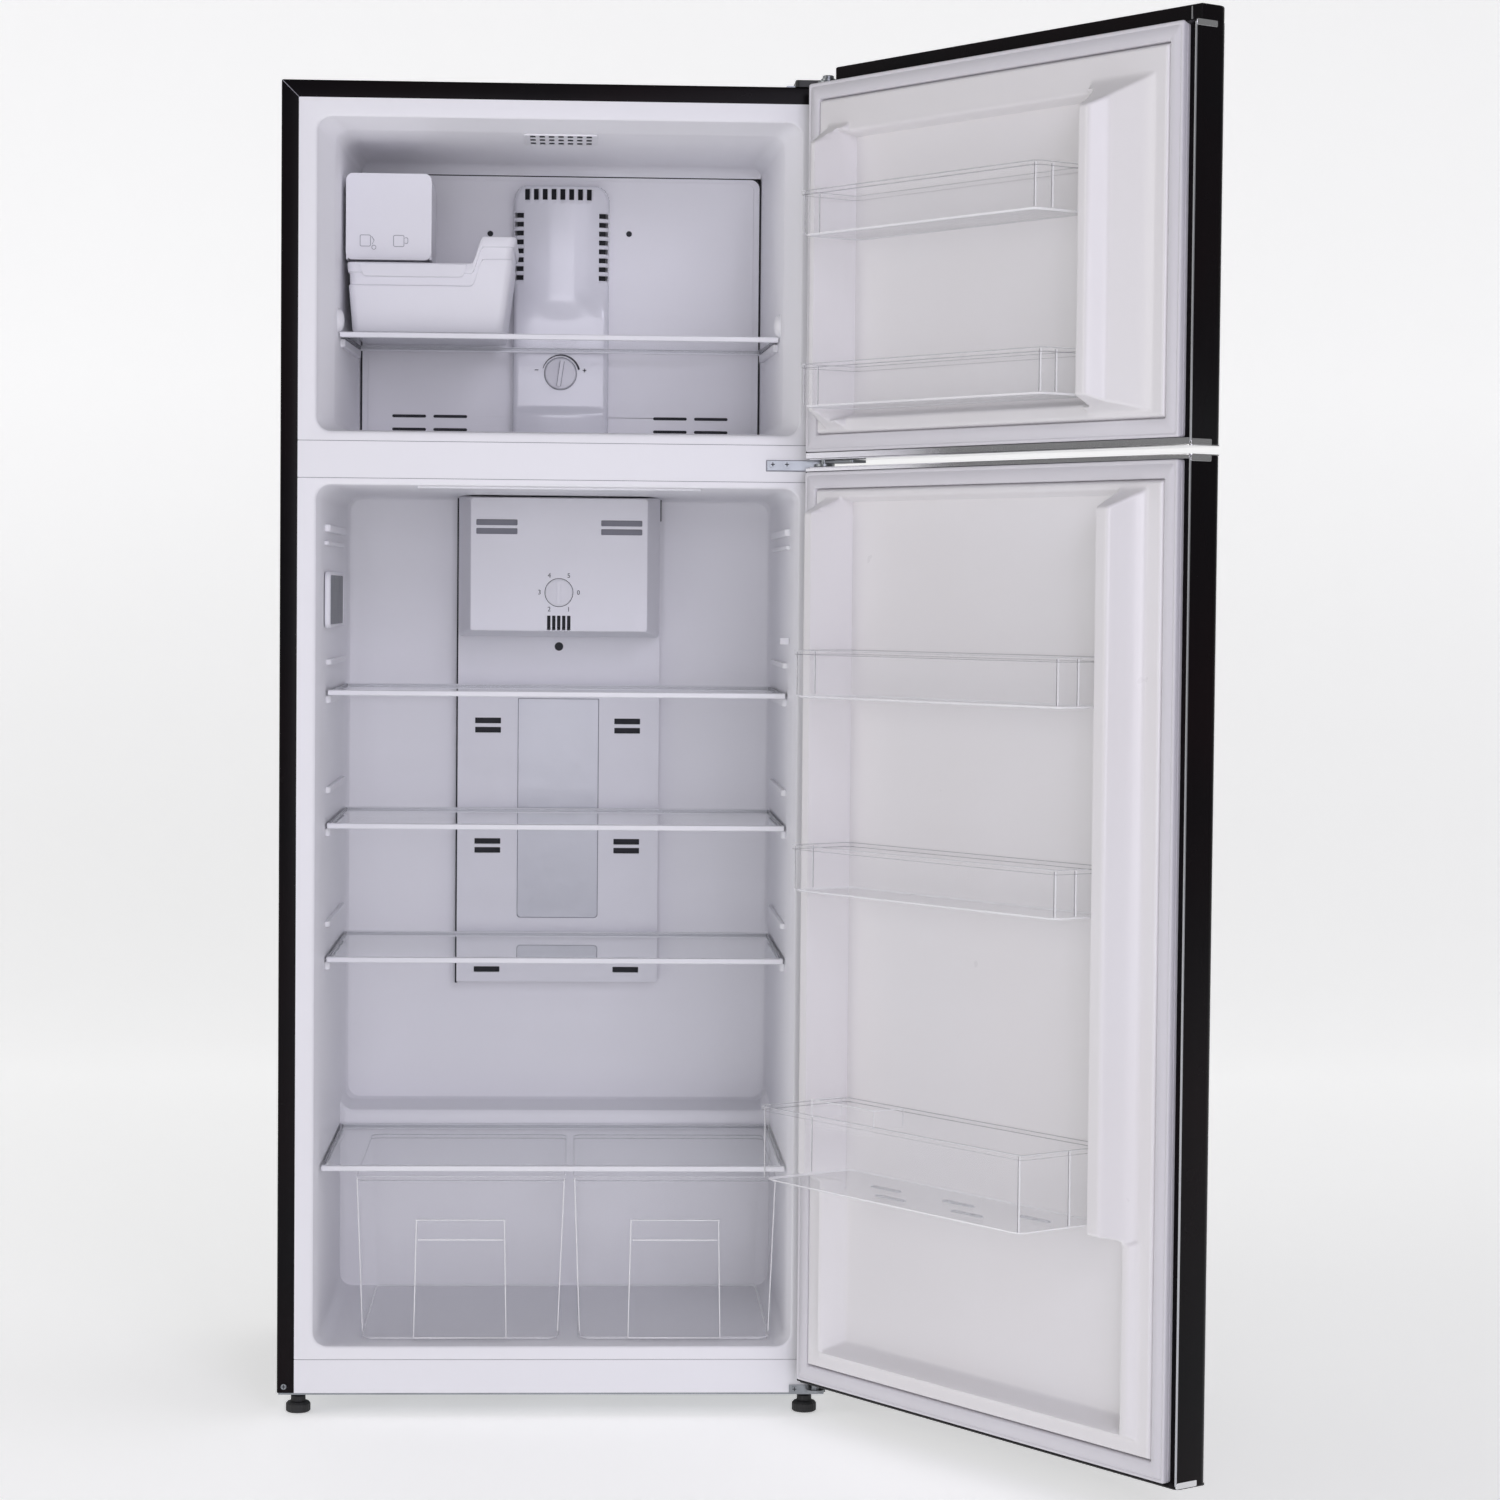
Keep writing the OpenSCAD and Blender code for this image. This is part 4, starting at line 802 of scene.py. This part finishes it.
duct_slots = [slot_loop(x, z, 36, 8, 0.7) for x in (-98, 96) for z in (857, 870, 689, 701.5, 522, 535)]
duct = [(-140, 1181.5), (-140, 505)] + arc(-134, 505, 6, 180, 250, 4) + \
    [(-80, 496), (-40, 494.6), (0, 494), (40, 494.6), (80, 496)] + \
    arc(134, 505, 6, 290, 360, 4) + [(140, 1181.5)]
piece("duct_cover", slab([duct] + duct_slots, 469.5, 500), "white", replace="air_duct_panel")
# Painted shadow: dark strips along the duct's left edge and the top of its right edge, where it meets the
# rear wall.
piece("duct_edge_shadows", join(slab([rr(-143, -140, 500, 1181, 0.5, 2)], 496, 500.4),
                         slab([rr(140, 142, 1150, 1181, 0.5, 2)],
                                                                                   496, 500.4)), "dark")
piece("duct_shadow", slab([rr(-120, 120, 515, 880, 3, 3)], 476, 477), "dark")
for i, (z0, z1, r) in enumerate(((594, 902, (5, 1, 1, 5)), (532, 557, (1, 5, 5, 1)))):
    piece("duct_recess_%d" % (i + 1),
          slab([rr(-58, 58, z0 - 1, z1 + 1, r, 5), rr(-56.6, 56.6, z0 + 0.4, z1 - 0.4, r, 5)],
                                           468.9, 470.4), "trim", bevel=0.5)
    # Painted shade: a grey ring in the groove round each film window.
    piece("duct_groove_%d" % (i + 1), slab([rr(-56.6, 56.6, z0 + 0.4, z1 - 0.4, r, 5),
                                            rr(-55.4, 55.4, z0 + 1.6, z1 - 1.6, r, 5)], 469.2, 470.2), "grey")
    piece("duct_film_%d" % (i + 1), slab([rr(-55.5, 55.5, z0 + 1.5, z1 - 1.5, r, 5)], 469.3, 470.2), "film")
lamp = [rr(50, 332, 1001, 1073, 12, 6), rr(58, 323, 1005.5, 1068.5, 7, 6)]
piece("lamp_frame", slab(lamp, -297, -289.5, "x"), "white", replace="side_lamp_frame", bevel=1.8, seg=3)
piece("lamp_glass", slab([rr(57, 324, 1005, 1069, 7, 6)], -296.5, -291, "x"), "lens",
      replace="side_lamp_lens", bevel=0.8)

# ---- feet -----------------------------------------------------------------

for side, name in ((-1, "left"), (1, "right")):
    prof = [(0.01, 0), (13.4, 0), (15.2, 1.6), (15.2, 10.4), (13.2, 13), (9.2, 14), (9.0, 20.5), (5, 21),
            (5, 28), (0.01, 28)]
    piece("levelling_foot_" + name, lathe(prof, (side * 324, 22, 0), "z", n=96, flute=0.03, flutes=24),
          "rubber", body=name + "_foot", replace="foot_" + name)

# ---- doors ----------------------------------------------------------------

DOOR_HALF = 346


def door_outline(x1):
    """Top outline of a door from its free edge to x1, seen from above."""
    q = 0.5
    return arc(-DOOR_HALF + 12, -42, 12, 180, 270, 8) + arc(x1 - q, -54 + q, q, 270, 360, 8) + \
        [(x1, -12.5), (x1 - 0.5, -12), (-DOOR_HALF + 0.5, -12), (-DOOR_HALF, -12.5)]


def gasket(name, node, body, z):
    """Door seal, as one profile all round the door's inner face."""
    prof = [(0, -12.2), (0, -8.8), (0.9, -8.3), (0.9, -7.3), (0, -6.8), (0, -2.8), (0.5, -1.6), (1.5, -1.0),
            (3.6, -1.0),
            (4.0, -1.5), (4.8, -1.5), (5.2, -1.0), (19.4, -1.0), (20.5, -1.8), (21, -3.6), (21, -12.2)]
    loops = [in_d(rr(-328.5 + g, 343 - g, z[0] + g, z[1] - g, 2.5, 2), w) for g, w in prof]
    piece(name, loft(loops, cyclic=True), "gasket", DOOR, body, replace=node, sharp=50)


def steps(*spans):
    """Coordinates over neighbouring spans of (start, end, step)."""
    out = []
    for a, b, s in spans:
        k = max(1, round((b - a) / s))
        out += [a + (b - a) * i / k for i in range(k)]
    return out + [spans[-1][1]]


def relief(name, node, body, xs, zs, height):
    """Vacuum-formed liner of a door as a height field, with its flange behind the gasket."""
    nx, nz = len(xs), len(zs)
    verts = [(x, height(x, z), z) for z in zs for x in xs]
    faces = [(j * nx + i, (j + 1) * nx + i, (j + 1) * nx + i + 1, j * nx + i + 1)
             for j in range(nz - 1) for i in range(nx - 1)]
    return piece(name, (verts, faces, [0] * len(faces)), "door_liner", DOOR, body, replace=node, thick=1.5,
                 sharp=60, turn=False)


def edge_drop(x, z, z0, z1):
    """The raised field falls away to the flange within a few millimetres of its outline."""
    m = min(x + 308, 322.5 - x, z - z0, z1 - z)
    return -11 + 2.6 * m


def freezer_relief(x, z):
    """Depth of the freezer door's liner at (x, z)."""
    field = -3.0
    right = lerp([(260, -3), (268, 41), (286, 41), (301, -3)], x)
    right = min(right, lerp([(1254, -3), (1278, 41), (1606, 41), (1633, -3)], z))
    left = lerp([(-287, -3), (-232, 20), (-218, 40), (-214, 41), (-190, 41), (-180, -3)], x)
    left = min(left, lerp([(1258, -3), (1268, 15), (1278, 41), (1603, 41), (1614, 20), (1636, -3)], z))
    form = soft_max(soft_max(field, right, 7), left, 7)
    wall = max(lerp([(-202, 41), (-186, -20)], x) if x < 0 else lerp([(268, -20), (277, 41)], x),
               lerp([(1258, 41), (1274, -20)], z), lerp([(1616, -20), (1632, 41)], z))
    hollow = soft_max(wall, -20, 8)
    return soft_min(soft_min(form, hollow, 5), edge_drop(x, z, 1248.5, 1667.5), 3)


def fridge_relief(x, z):
    """Depth of the fridge door's liner at (x, z)."""
    field = -3.0
    right = min(lerp([(262, -3), (270, 41), (292, 41), (302, -3)], x),
                lerp([(312, -3), (322, 41), (1150, 41), (1170, -3)], z))
    left = min(lerp([(-283, -3), (-272, 12), (-259, 40), (-256, 41), (-236, 41), (-230, -3)], x),
               lerp([(312, -3), (322, 41), (1150, 41), (1160, 20), (1172, -3)], z))
    low = min(lerp([(-289, -3), (-276, 10), (286, 10), (297, -3)], x),
              lerp([(92, -3), (99, 10), (316, 10), (322, -3)], z))
    form = soft_max(soft_max(soft_max(field, right, 7), left, 7), low, 5)
    upper = max(lerp([(-240, 41), (-234, -20)], x) if x < 0 else lerp([(267, -20), (277, 41)], x),
                lerp([(296, 41), (306, -20)], z), lerp([(1166, -20), (1178, 41)], z))
    lower = max(lerp([(-268, 12), (-243, -20)], x) if x < 0 else lerp([(262, -20), (286, 12)], x),
                lerp([(96, 14), (112, -20)], z), lerp([(314, -20), (326, 41)], z))
    hollow = soft_max(min(upper, lower), -20, 8)
    return soft_min(soft_min(form, hollow, 5), edge_drop(x, z, 73, 1182.5), 3)


def door(tag, z, gasket_z, height, xs, zs):
    """Skin, gasket, liner and the bright line on the free edge of one door."""
    body = tag + "_door"
    top = z[1] if tag == "fridge" else 1688
    rings = []
    for k in range(9):
        a = math.radians(90 * k / 8)
        g, h = 12 * (1 - math.sin(a)), 1.4 * (1 - math.sin(a))
        rings.append((g, h, -54 + 12 * (1 - math.cos(a))))
    rings += [(0, 0, -5.4), (0.4, 0.3, -4.6), (1.2, 0.8, -4.2), (2.4, 1.6, -4.4), (5, 3.2, -8.6),
              (6.6, 4.4, -11.2), (8, 5.4, -12), (19, 18, -12), (20, 19, -13), (21, 20, -44)]
    loops = [in_d(rr(-DOOR_HALF + g, DOOR_HALF - g, z[0] + h, top - h, 0.8, 2), w) for g, h, w in rings]
    piece(tag + "_door_body", loft(loops, True, True), "black", DOOR, body,
          replace=(tag + "_door_skin",), sharp=25)
    gasket(tag + "_door_gasket", tag + "_gasket", body, gasket_z)
    relief(tag + "_door_inner", (tag + "_door_liner", tag + "_door_foam"), body, xs, zs, height)
    piece(tag + "_door_edge_line", slab([rr(-346.3, -344.4, z[0] + 3, top - 3, 0.8, 2)], -5.2, -3.7),
          "silver", DOOR, body)
    return body


fx = steps((-308, -299, 1.5), (-299, -290, 3), (-290, -176, 2.3), (-176, 258, 18), (258, 306, 2.2),
           (306, 314, 4), (314, 323, 1.5))
fz = steps((1248, 1252, 1.3), (1252, 1284, 2.2), (1284, 1590, 18), (1590, 1642, 2.4), (1642, 1658, 4),
           (1658, 1668, 1.5))
door("freezer", (1219.5, 1706), (1228, 1688), freezer_relief, fx, fz)
rx = steps((-308, -299, 1.5), (-299, -290, 3), (-290, -228, 2.2), (-228, 256, 22), (256, 306, 2.2),
           (306, 314, 4), (314, 323, 1.5))
rz = steps((72.5, 82, 1.5), (82, 120, 2.2), (120, 292, 18), (292, 330, 2.2), (330, 1140, 27),
           (1140, 1174, 2.2), (1174, 1183, 1.5))
door("fridge", (49.5, 1208), (52.5, 1203), fridge_relief, rx, rz)

cap = door_outline(303)
cap_loops = [[(x + (1 if x < 0 else -1) * off, y + off * (1 if y < -33 else -1), zz) for x, y in cap]
             for off, zz in ((1.0, 1687.6), (0.2, 1688.4), (0.2, 1704), (0.8, 1705.4), (2.0, 1706))]
piece("freezer_door_cap", loft(cap_loops, True, True), "black", DOOR, "freezer_door",
      replace="freezer_door_top_cap", sharp=30)
strip = rr(-345, 345, -53, -6, 6, 5)
piece("freezer_door_strip", slab([strip], 1218.2, 1220, "z"), "chrome", DOOR, "freezer_door",
      replace="freezer_door_bottom_cap", bevel=0.8)
piece("fridge_door_strip", slab([strip], 1207.4, 1209.2, "z"), "chrome", DOOR, "fridge_door",
      replace="fridge_door_top_cap", bevel=0.8)
piece("fridge_door_base", slab([strip], 48, 50, "z"), "plastic", DOOR, "fridge_door",
      replace="fridge_door_bottom_cap", bevel=0.8)
for i, (z, body) in enumerate((((1681, 1688), "freezer_door"), ((1219, 1226), "freezer_door"),
                               ((1201, 1208), "fridge_door"), ((49.5, 56.5), "fridge_door"))):
    piece("corner_clip_%d" % (i + 1), slab([rr(-36, -4.4, z[0], z[1], 1.5, 3)], -346.7, -344, "x"), "chrome",
          DOOR, body, bevel=0.5)
for tag, lo, hi in (("freezer", 1219.9, 1227), ("fridge", 1203.8, 1207.8)):
    piece(tag + "_door_back_strip", slab([rr(-344.4, 345, lo, hi, 0.5, 2)], -10, -3.9), "chrome", DOOR,
          tag + "_door", bevel=0.5)
piece("freezer_door_cap_strip", slab([rr(-332, -330, 1689, 1704, 0.8, 2)], -12.6, -11.4), "chrome", DOOR,
      "freezer_door")

# ---- door racks -----------------------------------------------------------


def rack(name, node, body, x, depth, z, r=10, lean=4, front_lean=2, wall=2.4, rim=1.6):
    """Clear door rack with painted highlight lines and painted shade lines down its corners."""
    loops = [[(px, -py, pz) for px, py, pz in loop]
             for loop in tray_loops(x, (-depth, 17), z, lean, wall, r, rim=rim, front_lean=front_lean)]
    piece(name, loft(loops, True, True), tray_mats(len(loops)), DOOR, body, replace=node, sharp=50)
    # Painted highlight and painted shade: near-white lines and dark lines down the rack's corners stand for
    # light and shade on the clear plastic's edges.
    bright, dark = [], []
    for s, px in ((1, x[0] + lean / 2), (-1, x[1] - lean / 2)):
        for q, pw in ((3.4, depth - 3.4), (1.6, 44)):
            bright.append(tube([(px + s * q, pw, z[0] + 4), (px + s * q, pw, z[1] - 2)], 0.9, 6))
            dark.append(tube([(px + s * (q + 1.6), pw + 0.8, z[0] + 4),
                              (px + s * (q + 1.6), pw + 0.8, z[1] - 2)], 0.45, 6))
    piece(name + "_painted_highlights", join(*bright), "line", DOOR, body)
    piece(name + "_painted_shade_lines", join(*dark), "seam", DOOR, body)


rack("freezer_rack_top", "freezer_rack_upper", "freezer_rack_upper_body", (-170, 265), 72, (1487, 1543))
rack("freezer_rack_low", "freezer_rack_lower", "freezer_rack_lower_body", (-180, 265), 70, (1278, 1332))
rack("door_shelf_top", "door_rack_upper", "door_rack_upper_body", (-224, 265), 77, (922, 981))
rack("door_shelf_mid", "door_rack_middle", "door_rack_middle_body", (-224, 265), 77, (683, 741))
rack("bottle_bin", "bottle_rack", "bottle_rack_body", (-222, 264), 122, (329, 421), lean=8, front_lean=4)
cuts = []
for i, (sx, sw) in enumerate(((-150, 38), (-80, 80), (-20, 42), (55, 84), (110, 46))):
    cuts.append(slab([rr(sx - 27, sx + 27, sw - 4, sw + 4, 3.8, 4),
                      rr(sx - 25.6, sx + 25.6, sw - 2.6, sw + 2.6, 2.5, 4)],
                     330.6, 332.4, "z"))
piece("bottle_bin_slots", join(*cuts), "edge", DOOR, "bottle_rack_body")
tab = [(250.5, 416), (264, 416), (264, 438), (261, 441), (255, 441), (252, 437)]
piece("bottle_bin_tab", slab([tab], 117.5, 119.8), "clear", DOOR, "bottle_rack_body", bevel=0.5)

clip = [slab([[(116, 408), (118.4, 408), (118.4, 422.4), (122.6, 422.4), (122.6, 408), (125, 408), (125, 425),
               (118.6, 425), (118.6, 440), (116, 440)]], 48, 168, "x")]
clip += [slab([rr(70, 117, 416, 440, 5, 4)], x, x + 2.5, "x") for x in (48, 165.5)]
piece("bottle_holder", join(*clip), "clear", DOOR, "bottle_clip_body", replace="bottle_clip", bevel=0.5)
# Painted highlight: near-white lines along the clear holder's edges.
outline = [tube([(x, 71, 417.5), (x, 71, 438.5), (x, 116, 438.5), (x, 116, 417.5)], 0.8, 6)
           for x in (49.2, 166.8)]
outline.append(tube([(49.2, 116.8, 439.2), (166.8, 116.8, 439.2)], 0.8, 6))
piece("bottle_holder_highlights", join(*outline), "line", DOOR, "bottle_clip_body")
